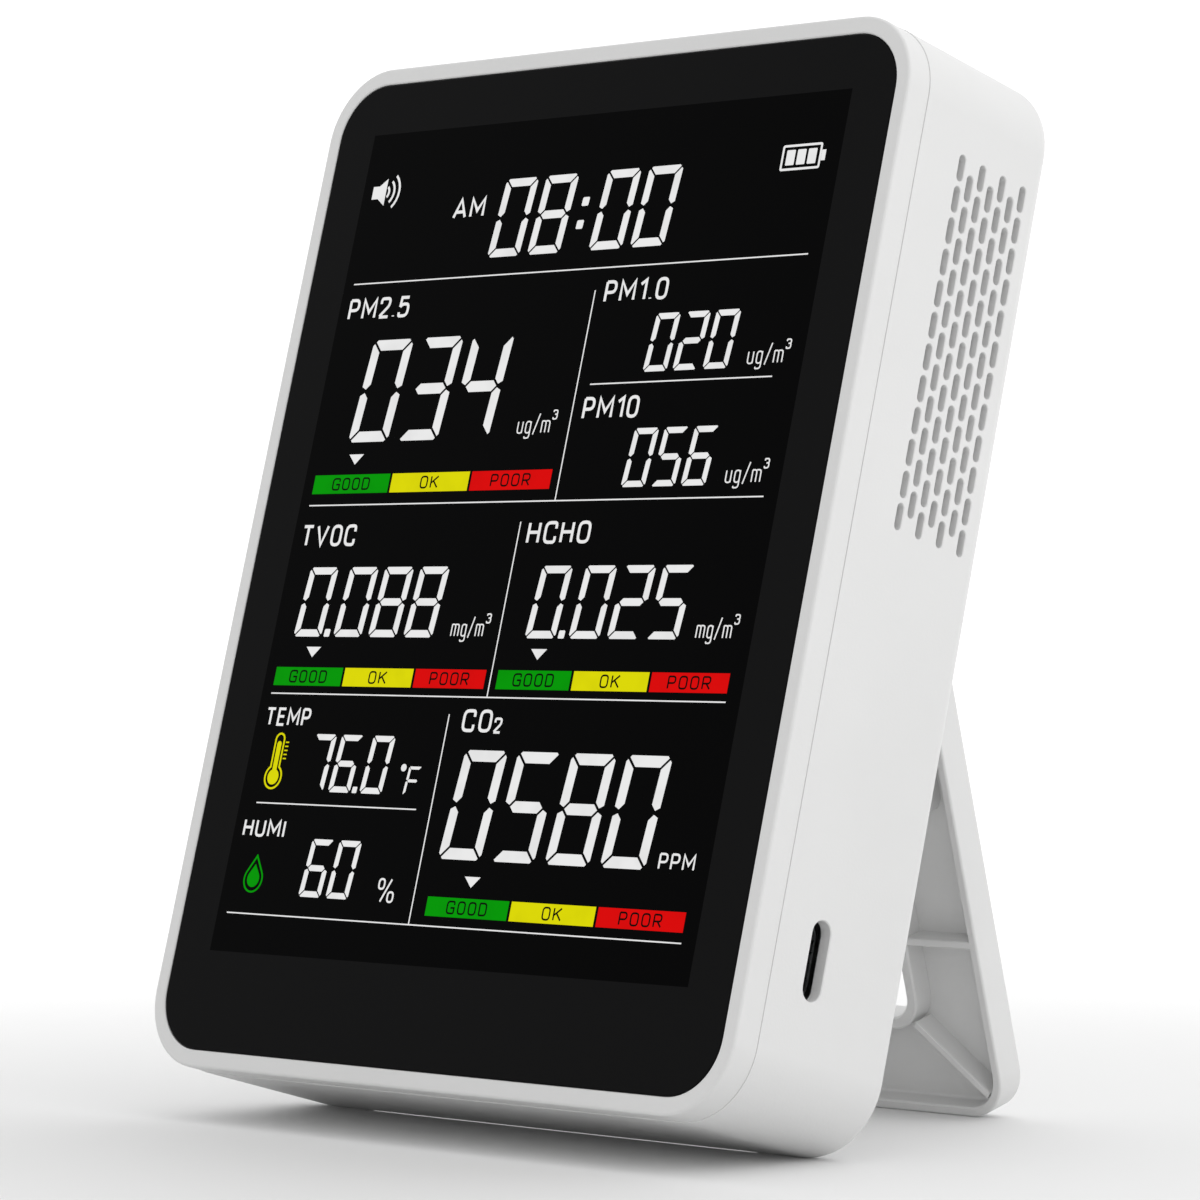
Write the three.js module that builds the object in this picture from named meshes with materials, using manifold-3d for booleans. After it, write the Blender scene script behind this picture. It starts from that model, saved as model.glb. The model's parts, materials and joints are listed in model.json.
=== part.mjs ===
// An air quality monitor: a white case with a glass front, vented sides and a fold-out stand.
// Units are millimetres. Every piece is drawn in the body frame: X to the right, Y back from the
// front face, Z up the case, origin at the centre of the front face. The last section leans the
// body back on its open stand and puts the origin at the bottom centre of the whole object.

import * as THREE from 'three';
import { mergeGeometries, mergeVertices } from 'three/addons/utils/BufferGeometryUtils.js';
import Module from 'manifold-3d';

const wasm = await Module();
wasm.setup();

// ---------- Driving dimensions ----------

const CASE_WIDTH = 104.6;
const CASE_HEIGHT = 138.8;
const CASE_DEPTH = 28.5;
const CORNER_RADIUS = 10;
const REAR_FILLET = 2;
const FRONT_FILLET = 0.35;
const WALL = 1.6;
const PARTING_Y = 4;
const PARTING_GAP = 0.12;
const FRAME_STEP = 0.1;
const CUT = 1;
const RUNNING_GAP = 0.05;
const GAP = 0.1;

const GLASS_WIDTH = 100;
const GLASS_HEIGHT = 133.8;
const GLASS_CORNER = 7.6;
const GLASS_FRONT_Y = 0.05;
const GLASS_THICKNESS = 1.8;
const ADHESIVE_THICKNESS = 0.3;

const LCD_HALF_WIDTH = 45.2;
const LCD_BOTTOM = -56.2;
const LCD_TOP = 61;
const LCD_THICKNESS = 2.2;
const BACKLIGHT_THICKNESS = 3;
const HOLDER_WALL = 1.1;

const VENT_COLUMNS = 7;
const VENT_ROWS = 12;
const VENT_FIRST_Y = 12.2;
const VENT_COLUMN_PITCH = 2.03;
const VENT_ROW_PITCH = 4.08;
const VENT_TOP_Z = 52.85;
const VENT_WIDTH = 1.2;
const VENT_LENGTH = 3.4;

const USB_Y = 11.68;
const USB_Z = -47.55;
const USB_CUT_WIDTH = 3.3;
const USB_CUT_HEIGHT = 9.9;
const USB_SHELL_WIDTH = 3.2;
const USB_SHELL_HEIGHT = 8.9;

const STAND_HALF_WIDTH = 34;
const STAND_THICKNESS = 4.7;
const STAND_LENGTH = 93.2;
const STAND_HEEL = 4;
const STAND_CORNER = 6;
const STAND_SKIN = 1.5;
const STAND_RIM = 1.3;
const STAND_RIB = 1;
const STAND_OPEN_ANGLE = THREE.MathUtils.degToRad(30.5);
const RECESS_DEPTH = 2;
const RECESS_CLEARANCE = 0.6;
const STAND_LIFT = 0.3;
const HINGE_Z = 25.1;
const HINGE_PIN_RADIUS = 1;

const BUTTON_SPACING = 14;
const BUTTON_Y = 15.5;
const BUTTON_RADIUS = 3.2;
const BUTTON_PROUD = 0.6;
const BUTTON_TRAVEL = 0.4;

const BOARD_FRONT_Y = 13.3;
const BOARD_THICKNESS = 1.6;

// ---------- Dimensions worked out from them ----------

const HALF_WIDTH = CASE_WIDTH / 2;
const HALF_HEIGHT = CASE_HEIGHT / 2;
const INNER_HALF_WIDTH = HALF_WIDTH - WALL;
const INNER_HALF_HEIGHT = HALF_HEIGHT - WALL;
const INNER_BACK_Y = CASE_DEPTH - WALL;
const GLASS_BACK_Y = GLASS_FRONT_Y + GLASS_THICKNESS;
const LEDGE_Y = GLASS_BACK_Y + ADHESIVE_THICKNESS + 2 * RUNNING_GAP;
const LCD_FRONT_Y = LEDGE_Y + GAP;
const LCD_BACK_Y = LCD_FRONT_Y + LCD_THICKNESS;
const BACKLIGHT_FRONT_Y = LCD_BACK_Y + GAP;
const BACKLIGHT_BACK_Y = BACKLIGHT_FRONT_Y + BACKLIGHT_THICKNESS;
const HOLDER_FLOOR_Y = BACKLIGHT_BACK_Y + GAP;
const HOLDER_BACK_Y = HOLDER_FLOOR_Y + 1.35;
const BOARD_BACK_Y = BOARD_FRONT_Y + BOARD_THICKNESS;
const COMPONENT_Y = BOARD_BACK_Y + GAP;
const RECESS_FLOOR_Y = CASE_DEPTH - RECESS_DEPTH;
const HINGE_Y = RECESS_FLOOR_Y + STAND_LIFT + STAND_THICKNESS / 2;
const RECESS_HALF_WIDTH = STAND_HALF_WIDTH + RECESS_CLEARANCE;
const RECESS_TOP_Z = HINGE_Z + STAND_HEEL + 1.2;
const HEEL_REACH = STAND_HEEL * Math.sin(STAND_OPEN_ANGLE) + STAND_THICKNESS / 2 * Math.cos(STAND_OPEN_ANGLE);
const HEEL_POCKET_Y = HINGE_Y - HEEL_REACH - STAND_LIFT;
const HEEL_POCKET_BOTTOM_Z = HINGE_Z - 1.5;

// Corner places that pieces share: [x, z] in the body frame.
const HOUSING_SCREWS = [[-42.3, 65], [42.3, 65], [-42.3, -62.5], [42.3, -62.5]];
const BOARD_SCREWS = [[-40, 52], [3, 52], [-40, -52], [40, -52]];
const BUTTON_NAMES = ['power', 'menu', 'down', 'up'];
const KEY_BOARD_SCREW_X = 31;

// Screws point to -Y. The board's go into the display holder, the housing's into the front frame.
const SCREW_SEAT_Y = 12.6;
const BOARD_SCREW = { shank: 0.8, head: 1.9, tipY: 10, seatY: COMPONENT_Y, headHeight: 1.3 };
const HOUSING_SCREW = { shank: 1.05, head: 2.3, tipY: 5.6, seatY: SCREW_SEAT_Y + GAP, headHeight: 1.8 };

// ---------- Solids ----------

const AXIS_X = new THREE.Vector3(1, 0, 0);
const AXIS_Y = new THREE.Vector3(0, 1, 0);
const AXIS_Z = new THREE.Vector3(0, 0, 1);

function solidOf(geometry) {
  const bare = geometry.index ? geometry.toNonIndexed() : geometry.clone();
  bare.deleteAttribute('normal');
  bare.deleteAttribute('uv');
  const welded = mergeVertices(bare, 1e-5);
  return new wasm.Manifold(new wasm.Mesh({
    numProp: 3,
    vertProperties: new Float32Array(welded.attributes.position.array),
    triVerts: new Uint32Array(welded.index.array),
  }));
}

function geometryOf(solid) {
  const mesh = solid.getMesh();
  const geometry = new THREE.BufferGeometry();
  geometry.setAttribute('position', new THREE.BufferAttribute(new Float32Array(mesh.vertProperties), 3));
  geometry.setIndex(new THREE.BufferAttribute(new Uint32Array(mesh.triVerts), 1));
  geometry.computeVertexNormals();
  return geometry;
}

function join(...solids) {
  return solids.reduce((sum, next) => sum.add(next));
}

function cut(solid, ...tools) {
  return tools.reduce((rest, tool) => rest.subtract(tool), solid);
}

function block(x0, x1, y0, y1, z0, z1) {
  const geometry = new THREE.BoxGeometry(x1 - x0, y1 - y0, z1 - z0);
  geometry.translate((x0 + x1) / 2, (y0 + y1) / 2, (z0 + z1) / 2);
  return solidOf(geometry);
}

function roundedRect(x0, x1, z0, z1, radius) {
  const shape = new THREE.Shape();
  shape.absarc(x1 - radius, z1 - radius, radius, 0, Math.PI / 2);
  shape.absarc(x0 + radius, z1 - radius, radius, Math.PI / 2, Math.PI);
  shape.absarc(x0 + radius, z0 + radius, radius, Math.PI, 1.5 * Math.PI);
  shape.absarc(x1 - radius, z0 + radius, radius, 1.5 * Math.PI, 2 * Math.PI);
  shape.closePath();
  return shape;
}

function centredRect(halfWidth, halfHeight, radius) {
  return roundedRect(-halfWidth, halfWidth, -halfHeight, halfHeight, radius);
}

// A shape drawn in X and Z, given thickness along Y.
function plate(shape, y0, y1, arcSteps = 3) {
  const depth = y1 - y0;
  const geometry = new THREE.ExtrudeGeometry(shape, { depth, bevelEnabled: false, curveSegments: arcSteps });
  geometry.applyMatrix4(new THREE.Matrix4().makeBasis(AXIS_X, AXIS_Z, AXIS_Y.clone().negate()));
  geometry.translate(0, y1, 0);
  return solidOf(geometry);
}

// The same with both rims rounded by a fillet.
function filletedPlate(shape, y0, y1, fillet, filletSteps) {
  const geometry = new THREE.ExtrudeGeometry(shape, {
    depth: y1 - y0 - 2 * fillet,
    bevelThickness: fillet,
    bevelSize: fillet,
    bevelOffset: -fillet,
    bevelSegments: filletSteps,
    curveSegments: 3,
  });
  geometry.applyMatrix4(new THREE.Matrix4().makeBasis(AXIS_X, AXIS_Z, AXIS_Y.clone().negate()));
  geometry.translate(0, y1 - fillet, 0);
  return solidOf(geometry);
}

// A shape drawn in Y and Z, given thickness along X.
function sidePrism(shape, x0, x1, arcSteps = 3) {
  const depth = x1 - x0;
  const geometry = new THREE.ExtrudeGeometry(shape, { depth, bevelEnabled: false, curveSegments: arcSteps });
  geometry.applyMatrix4(new THREE.Matrix4().makeBasis(AXIS_Y, AXIS_Z, AXIS_X));
  geometry.translate(x0, 0, 0);
  return solidOf(geometry);
}

function rodY(x, z, radius, y0, y1, sides = 16) {
  const geometry = new THREE.CylinderGeometry(radius, radius, y1 - y0, sides);
  geometry.translate(x, (y0 + y1) / 2, z);
  return solidOf(geometry);
}

function rodZ(x, y, radius, z0, z1, sides = 16) {
  const geometry = new THREE.CylinderGeometry(radius, radius, z1 - z0, sides);
  geometry.rotateX(Math.PI / 2);
  geometry.translate(x, y, (z0 + z1) / 2);
  return solidOf(geometry);
}

function rodX(y, z, radius, x0, x1, sides = 16) {
  const geometry = new THREE.CylinderGeometry(radius, radius, x1 - x0, sides);
  geometry.rotateZ(Math.PI / 2);
  geometry.translate((x0 + x1) / 2, y, z);
  return solidOf(geometry);
}

// ---------- Materials ----------

function finish(color, roughness, metalness = 0) {
  return new THREE.MeshStandardMaterial({ color, roughness, metalness });
}

const whitePlastic = () => finish(0xeeeeec, 0.5);
const glossBlack = () => finish(0x0b0b0c, 0.08);
const steel = () => finish(0xb9bcc0, 0.3, 1);
const greenBoard = () => finish(0x1d6b3a, 0.55);
const blackPlastic = () => finish(0x1c1c1e, 0.6);
const lightFilm = () => finish(0xf4f6f6, 0.35);
const amberFilm = () => finish(0xb4712a, 0.4);
const goldMetal = () => finish(0xc9a24b, 0.35, 1);
const greyFelt = () => finish(0xa9aaac, 0.95);
const bluePouch = () => finish(0x2f5f9e, 0.45);
const blackFoam = () => finish(0x2b2b2d, 0.95);

// ---------- Scene graph ----------

const group = new THREE.Group();
const body = new THREE.Group();
const stand = new THREE.Group();
group.add(body);
body.add(stand);

function addPart(parent, name, solid, material) {
  const mesh = new THREE.Mesh(geometryOf(solid), material);
  mesh.name = name;
  parent.add(mesh);
}

// ---------- Front frame, glass and its adhesive ----------

const LCD_OPENING = { halfWidth: 46, bottom: LCD_BOTTOM - 1, top: LCD_TOP + 0.8, radius: 1.5 };
const TONGUE_THICKNESS = 1.2;
const TONGUE_BACK_Y = 6.5;
const POST_RADIUS = 2.6;
const POST_BACK_Y = 10.7;
const PILOT_RADIUS = 1.15;

function lcdOpening(y0, y1) {
  const { halfWidth, bottom, top, radius } = LCD_OPENING;
  return plate(roundedRect(-halfWidth, halfWidth, bottom, top, radius), y0, y1, 1);
}

function tongueOutline(inset) {
  const margin = GAP + inset;
  return centredRect(INNER_HALF_WIDTH - margin, INNER_HALF_HEIGHT - margin, CORNER_RADIUS - WALL - margin);
}

function frontFrame() {
  const outline = centredRect(HALF_WIDTH - FRAME_STEP, HALF_HEIGHT - FRAME_STEP, CORNER_RADIUS - FRAME_STEP);
  const rounded = filletedPlate(outline, 0, 2 * PARTING_Y, FRONT_FILLET, 2);
  const band = rounded.intersect(block(-HALF_WIDTH, HALF_WIDTH, -CUT, PARTING_Y, -HALF_HEIGHT, HALF_HEIGHT));
  const tongue = cut(
    plate(tongueOutline(0), PARTING_Y - CUT, TONGUE_BACK_Y),
    plate(tongueOutline(TONGUE_THICKNESS), PARTING_Y, TONGUE_BACK_Y + CUT),
  );
  const posts = HOUSING_SCREWS.map(([x, z]) => rodY(x, z, POST_RADIUS, PARTING_Y - CUT, POST_BACK_Y));
  const pilots = HOUSING_SCREWS.map(([x, z]) => (
    rodY(x, z, PILOT_RADIUS, PARTING_Y + 0.5, POST_BACK_Y + CUT, 10)
  ));
  const seat = centredRect(GLASS_WIDTH / 2 + GAP, GLASS_HEIGHT / 2 + GAP, GLASS_CORNER + GAP);
  return cut(
    join(band, tongue, ...posts),
    plate(seat, -CUT, LEDGE_Y),
    lcdOpening(-CUT, PARTING_Y + CUT),
    ...pilots,
  );
}

function frontGlass() {
  const outline = centredRect(GLASS_WIDTH / 2, GLASS_HEIGHT / 2, GLASS_CORNER);
  return filletedPlate(outline, GLASS_FRONT_Y, GLASS_BACK_Y, 0.2, 1);
}

function glassAdhesive() {
  const y0 = GLASS_BACK_Y + RUNNING_GAP;
  const y1 = y0 + ADHESIVE_THICKNESS;
  const inset = 0.6;
  const outline = centredRect(GLASS_WIDTH / 2 - inset, GLASS_HEIGHT / 2 - inset, GLASS_CORNER - inset);
  return cut(plate(outline, y0, y1), lcdOpening(y0 - CUT, y1 + CUT));
}

// ---------- Display stack ----------

const FLEX_HALF_WIDTH = 12;
const FLEX_THICKNESS = 0.3;
const FLEX_FRONT_Y = PARTING_Y + 0.25;
const FLEX_BOTTOM_Z = LCD_BOTTOM - 1.9;
const FLEX_BACK_Y = BOARD_FRONT_Y - 0.9;
const FLEX_END_Z = -50.4;
const FLEX_BEND = 1.2;
const HOLDER_FLANGE = 2;
const HOLDER_POST_RADIUS = 2.4;
const HOLDER_PILOT_RADIUS = 0.9;

function lcdCell() {
  return block(-LCD_HALF_WIDTH, LCD_HALF_WIDTH, LCD_FRONT_Y, LCD_BACK_Y, LCD_BOTTOM, LCD_TOP);
}

function backlightGuide() {
  return block(-LCD_HALF_WIDTH, LCD_HALF_WIDTH, BACKLIGHT_FRONT_Y, BACKLIGHT_BACK_Y, LCD_BOTTOM, LCD_TOP);
}

function lcdHolder() {
  const innerHalfWidth = LCD_HALF_WIDTH + 0.3;
  const innerBottom = LCD_BOTTOM - 0.4;
  const innerTop = LCD_TOP + 0.2;
  const outerHalfWidth = innerHalfWidth + HOLDER_FLANGE;
  const outerBottom = LCD_BOTTOM - 3;
  const frontY = PARTING_Y + 0.15;
  const tray = cut(
    block(-outerHalfWidth, outerHalfWidth, frontY, HOLDER_BACK_Y, outerBottom, innerTop + HOLDER_WALL),
    block(-innerHalfWidth, innerHalfWidth, frontY - CUT, HOLDER_FLOOR_Y, innerBottom, innerTop),
  );
  const posts = BOARD_SCREWS.map(([x, z]) => (
    rodY(x, z, HOLDER_POST_RADIUS, HOLDER_BACK_Y - CUT, BOARD_FRONT_Y - GAP)
  ));
  const pilots = BOARD_SCREWS.map(([x, z]) => (
    rodY(x, z, HOLDER_PILOT_RADIUS, HOLDER_BACK_Y - 0.4, BOARD_FRONT_Y + CUT, 10)
  ));
  const wayHalf = FLEX_HALF_WIDTH + 2;
  const wayBackY = HOLDER_BACK_Y + CUT;
  const flexWay = block(-wayHalf, wayHalf, frontY - CUT, wayBackY, outerBottom - CUT, innerBottom + 2);
  return cut(join(tray, ...posts), ...pilots, flexWay);
}

// The ribbon leaves the glass edge, turns under the holder and climbs to its connector on the board.
function lcdFlex() {
  const outer = new THREE.Shape();
  const quarter = Math.PI / 2;
  const startZ = LCD_BOTTOM - 0.3;
  const bendZ = FLEX_BOTTOM_Z + FLEX_BEND;
  const frontBendY = FLEX_FRONT_Y + FLEX_BEND;
  const backBendY = FLEX_BACK_Y - FLEX_BEND;
  const innerBend = FLEX_BEND - FLEX_THICKNESS;
  outer.moveTo(FLEX_FRONT_Y, startZ);
  outer.absarc(frontBendY, bendZ, FLEX_BEND, Math.PI, 3 * quarter);
  outer.absarc(backBendY, bendZ, FLEX_BEND, -quarter, 0);
  outer.lineTo(FLEX_BACK_Y, FLEX_END_Z);
  outer.lineTo(FLEX_BACK_Y - FLEX_THICKNESS, FLEX_END_Z);
  outer.absarc(backBendY, bendZ, innerBend, 0, -quarter, true);
  outer.absarc(frontBendY, bendZ, innerBend, 3 * quarter, Math.PI, true);
  outer.lineTo(FLEX_FRONT_Y + FLEX_THICKNESS, startZ);
  outer.closePath();
  return sidePrism(outer, -FLEX_HALF_WIDTH, FLEX_HALF_WIDTH, 2);
}

function flexConnector() {
  const halfWidth = FLEX_HALF_WIDTH + 1.5;
  const bottomZ = FLEX_END_Z + 0.2;
  return block(-halfWidth, halfWidth, BOARD_FRONT_Y - 1.8, BOARD_FRONT_Y - GAP, bottomZ, bottomZ + 4.8);
}

// ---------- Main board and what sits on it ----------

const DUST = { x0: 10.5, x1: 47.5, z0: 7, z1: 55, frontY: 9.9, backY: 20.9, wall: 1 };
const BOARD_NOTCH_X = DUST.x0 - 2;
const BOARD_NOTCH_Z = DUST.z0 - 2.5;
const BOARD = { halfWidth: 46.5, bottom: -57.3, top: 57, corner: 1.5, holeRadius: 1.1 };

// The board is cut away at the top right, where the dust sensor stands.
function mainBoard() {
  const { halfWidth, bottom, top, corner, holeRadius } = BOARD;
  const frontY = BOARD_FRONT_Y - CUT;
  const backY = BOARD_BACK_Y + CUT;
  return cut(
    plate(roundedRect(-halfWidth, halfWidth, bottom, top, corner), BOARD_FRONT_Y, BOARD_BACK_Y, 1),
    block(BOARD_NOTCH_X, halfWidth + CUT, frontY, backY, BOARD_NOTCH_Z, top + CUT),
    ...BOARD_SCREWS.map(([x, z]) => rodY(x, z, holeRadius, frontY, backY, 10)),
  );
}

// A pan head on a plain shank, with a cross recess; it points to -Y.
function screw([x, z], { shank, head, tipY, seatY, headHeight }) {
  const slot = head * 0.55;
  const slotHalf = head * 0.12;
  const slotFloor = seatY + headHeight * 0.4;
  const headTop = seatY + headHeight;
  return cut(
    join(rodY(x, z, shank, tipY, seatY + 0.2, 8), rodY(x, z, head, seatY, headTop, 12)),
    block(x - slot, x + slot, slotFloor, headTop + CUT, z - slotHalf, z + slotHalf),
    block(x - slotHalf, x + slotHalf, slotFloor, headTop + CUT, z - slot, z + slot),
  );
}

const USB_MOUTH_X = HALF_WIDTH - 2.3;
const USB_BACK_X = USB_MOUTH_X - 7.3;
const USB_FLOOR_X = USB_MOUTH_X - 5.6;
const USB_SHEET = 0.3;

function usbPrism(width, height, x0, x1, arcSteps) {
  const halfWidth = width / 2;
  const halfHeight = height / 2;
  const y0 = USB_Y - halfWidth;
  const z0 = USB_Z - halfHeight;
  const shape = roundedRect(y0, y0 + width, z0, z0 + height, halfWidth - 0.02);
  return sidePrism(shape, x0, x1, arcSteps);
}

function usbShell() {
  const innerWidth = USB_SHELL_WIDTH - 2 * USB_SHEET;
  const innerHeight = USB_SHELL_HEIGHT - 2 * USB_SHEET;
  return cut(
    usbPrism(USB_SHELL_WIDTH, USB_SHELL_HEIGHT, USB_BACK_X, USB_MOUTH_X, 3),
    usbPrism(innerWidth, innerHeight, USB_FLOOR_X, USB_MOUTH_X + CUT, 3),
  );
}

function usbTongue() {
  const halfWidth = 0.35;
  const halfHeight = 3.35;
  const x0 = USB_FLOOR_X + GAP;
  const x1 = USB_MOUTH_X - 0.6;
  return block(x0, x1, USB_Y - halfWidth, USB_Y + halfWidth, USB_Z - halfHeight, USB_Z + halfHeight);
}

const BUZZER = { x: 36, z: -28, radius: 6, height: 5.8, soundHole: 1 };

function buzzer() {
  const { x, z, radius, height, soundHole } = BUZZER;
  const y0 = COMPONENT_Y;
  const can = rodY(x, z, radius, y0, y0 + height, 16);
  return can.subtract(rodY(x, z, soundHole, y0 + height - 1.8, y0 + height + CUT, 8));
}

function chip({ x, z, half, height }) {
  return block(x - half, x + half, COMPONENT_Y, COMPONENT_Y + height, z - half, z + half);
}

// ---------- Gas and climate sensors ----------

const CO2 = { x: -35, z: 32.5, halfX: 10, halfZ: 16.5, height: 7.4 };
const GAS = { x: -36, z: 0, flange: 5, can: 4.4, inlet: 2.4, height: 5.2 };
const FORMALDEHYDE = { x: -36, z: -20, half: 8, inlet: 5, hole: 2, baseHeight: 4, height: 6.4 };
const PROCESSOR = { x: 8, z: -2, half: 4.5, height: 1.2 };
const CLIMATE = { x: -42, z: -42, half: 1.3, height: 0.9 };

function co2Sensor() {
  const { x, z, halfX, halfZ, height } = CO2;
  const outline = roundedRect(x - halfX, x + halfX, z - halfZ, z + halfZ, 2);
  return plate(outline, COMPONENT_Y, COMPONENT_Y + height, 1);
}

function co2Filter() {
  const { x, z, height } = CO2;
  const y0 = COMPONENT_Y + height + RUNNING_GAP;
  return plate(roundedRect(x - 7, x + 7, z - 4, z + 12, 1), y0, y0 + 0.4, 1);
}

function gasSensor() {
  const { x, z, flange, can, inlet, height } = GAS;
  const y0 = COMPONENT_Y;
  return cut(
    join(rodY(x, z, flange, y0, y0 + 0.8, 16), rodY(x, z, can, y0, y0 + height, 16)),
    rodY(x, z, inlet, y0 + height - 0.6, y0 + height + CUT, 12),
  );
}

function formaldehydeSensor() {
  const { x, z, half, inlet, hole, baseHeight, height } = FORMALDEHYDE;
  const y0 = COMPONENT_Y;
  const base = plate(roundedRect(x - half, x + half, z - half, z + half, 1), y0, y0 + baseHeight, 1);
  return cut(
    join(base, rodY(x, z, inlet, y0 + baseHeight - CUT, y0 + height, 16)),
    rodY(x, z, hole, y0 + height - 1.4, y0 + height + CUT, 12),
  );
}

// ---------- Laser dust sensor ----------

const FAN = { x: 22, z: 20, bore: 9.8, rotor: 9.2, hub: 4, blades: 7, frontY: 12.7, backY: 18.9 };
const FAN_AXLE_RADIUS = 0.6;
const LASER = { y: 15.5, z: 45, radius: 2.6, x0: 16, x1: 27 };
const LID_THICKNESS = 0.8;
const LID_INLET_RADIUS = 7.5;
const LID_OUTLET = { height: 2.5, pitch: 5, bottom: 30, near: 4, far: 12 };

function dustCase() {
  const { x0, x1, z0, z1, frontY, backY, wall } = DUST;
  const tub = cut(
    plate(roundedRect(x0, x1, z0, z1, 1.5), frontY, backY, 1),
    block(x0 + wall, x1 - wall, frontY + wall, backY + CUT, z0 + wall, z1 - wall),
  );
  const fanRing = cut(
    rodY(FAN.x, FAN.z, FAN.bore + 0.8, frontY + wall / 2, backY - GAP, 24),
    rodY(FAN.x, FAN.z, FAN.bore, frontY + wall, backY + CUT, 24),
    block(FAN.x + 4, FAN.x + 12, frontY + wall, backY + CUT, FAN.z + 4, FAN.z + 12),
  );
  const boss = rodY(FAN.x, FAN.z, 1.8, frontY + wall / 2, FAN.frontY - GAP, 12);
  const boxed = fanRing.intersect(block(x0, x1, frontY, backY, z0, z1));
  const axleHole = rodY(FAN.x, FAN.z, FAN_AXLE_RADIUS + RUNNING_GAP, frontY + 0.6, backY, 12);
  return cut(join(tub, boxed, boss), axleHole);
}

function dustLid() {
  const { x0, x1, z0, z1, backY } = DUST;
  const y0 = backY + GAP;
  const y1 = y0 + LID_THICKNESS;
  const outlets = [0, 1, 2].map((i) => {
    const { near, far, bottom, pitch, height } = LID_OUTLET;
    const bottomZ = z0 + bottom + i * pitch;
    return block(x1 - far, x1 - near, y0 - CUT, y1 + CUT, bottomZ, bottomZ + height);
  });
  return cut(
    plate(roundedRect(x0, x1, z0, z1, 1.5), y0, y1, 1),
    rodY(FAN.x, FAN.z, LID_INLET_RADIUS, y0 - CUT, y1 + CUT, 24),
    ...outlets,
  );
}

function fanAxle() {
  return rodY(FAN.x, FAN.z, FAN_AXLE_RADIUS, DUST.frontY + 0.7, FAN.backY - 1.2, 12);
}

function fanRotor() {
  const hub = rodY(FAN.x, FAN.z, FAN.hub, FAN.frontY, FAN.backY, 20);
  const bladeMiddle = (FAN.hub + FAN.rotor) / 2;
  const blades = Array.from({ length: FAN.blades }, (unused, i) => {
    const geometry = new THREE.BoxGeometry(FAN.rotor - FAN.hub + 1, FAN.backY - FAN.frontY - 0.6, 0.7);
    geometry.rotateX(THREE.MathUtils.degToRad(32));
    geometry.translate(bladeMiddle - 0.5, 0, 0);
    geometry.rotateY(2 * Math.PI * i / FAN.blades);
    geometry.translate(FAN.x, (FAN.frontY + FAN.backY) / 2, FAN.z);
    return solidOf(geometry);
  });
  return cut(join(hub, ...blades),
    rodY(FAN.x, FAN.z, FAN_AXLE_RADIUS + RUNNING_GAP, FAN.frontY - CUT, FAN.backY - 1, 12));
}

function dustLaser() {
  return rodX(LASER.y, LASER.z, LASER.radius, LASER.x0, LASER.x1, 16);
}

// ---------- Battery ----------

const BATTERY = { x0: -22, x1: 28, z0: -48, z1: -10, frontY: 16, backY: 22.6 };

function battery() {
  const { x0, x1, z0, z1, frontY, backY } = BATTERY;
  return filletedPlate(roundedRect(x0, x1, z0, z1, 2), frontY, backY, 1, 1);
}

function batteryPad() {
  const { x0, x1, z0, z1, frontY } = BATTERY;
  return block(x0 + 4, x1 - 4, COMPONENT_Y, frontY - GAP, z0 + 4, z1 - 4);
}

const PLUG = { x: 23.5, z: -1.5, halfX: 3.5, halfZ: 2.5, height: 4 };
const LEAD_START_X = 15;
const LEAD_RADIUS = 0.8;

function batteryPlug() {
  const { x, z, halfX, halfZ, height } = PLUG;
  return block(x - halfX, x + halfX, COMPONENT_Y, COMPONENT_Y + height, z - halfZ, z + halfZ);
}

function batteryLead() {
  const z0 = BATTERY.z1 + 0.3;
  const z1 = PLUG.z - PLUG.halfZ - 0.3;
  const y0 = (BATTERY.frontY + BATTERY.backY) / 2;
  const y1 = COMPONENT_Y + PLUG.height / 2;
  const pull = 3.2;
  const path = new THREE.CubicBezierCurve3(
    new THREE.Vector3(LEAD_START_X, y0, z0),
    new THREE.Vector3(LEAD_START_X, y0, z0 + pull),
    new THREE.Vector3(PLUG.x, y1, z1 - pull),
    new THREE.Vector3(PLUG.x, y1, z1),
  );
  const section = new THREE.Shape().absarc(0, 0, LEAD_RADIUS, 0, 2 * Math.PI);
  return solidOf(new THREE.ExtrudeGeometry(section, {
    steps: 10, extrudePath: path, bevelEnabled: false, curveSegments: 4,
  }));
}

// ---------- Buttons, their board and switches ----------

const KEY_BOARD_TOP_Z = 61.1;
const KEY_BOARD = { halfLength: 34, halfWidth: 5.2, holeRadius: 1.1 };
const KEY_PILOT_TOP_Z = 66.5;
const SWITCH_HALF = 3;
const SWITCH_TOP_Z = KEY_BOARD_TOP_Z + GAP + 3.4;

function buttonX(index) {
  return (index - (BUTTON_NAMES.length - 1) / 2) * BUTTON_SPACING;
}

function buttonCap(x) {
  const flangeTop = INNER_HALF_HEIGHT - 0.4;
  const flangeBottom = flangeTop - 0.9;
  return join(
    rodZ(x, BUTTON_Y, BUTTON_RADIUS, flangeTop - 0.2, HALF_HEIGHT + BUTTON_PROUD, 16),
    rodZ(x, BUTTON_Y, BUTTON_RADIUS + 1, flangeBottom, flangeTop, 16),
    rodZ(x, BUTTON_Y, 1.5, SWITCH_TOP_Z + BUTTON_TRAVEL + RUNNING_GAP, flangeBottom + 0.2, 8),
  );
}

function tactSwitch(x) {
  const y0 = BUTTON_Y - SWITCH_HALF;
  const y1 = BUTTON_Y + SWITCH_HALF;
  return block(x - SWITCH_HALF, x + SWITCH_HALF, y0, y1, KEY_BOARD_TOP_Z + GAP, SWITCH_TOP_Z);
}

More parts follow.
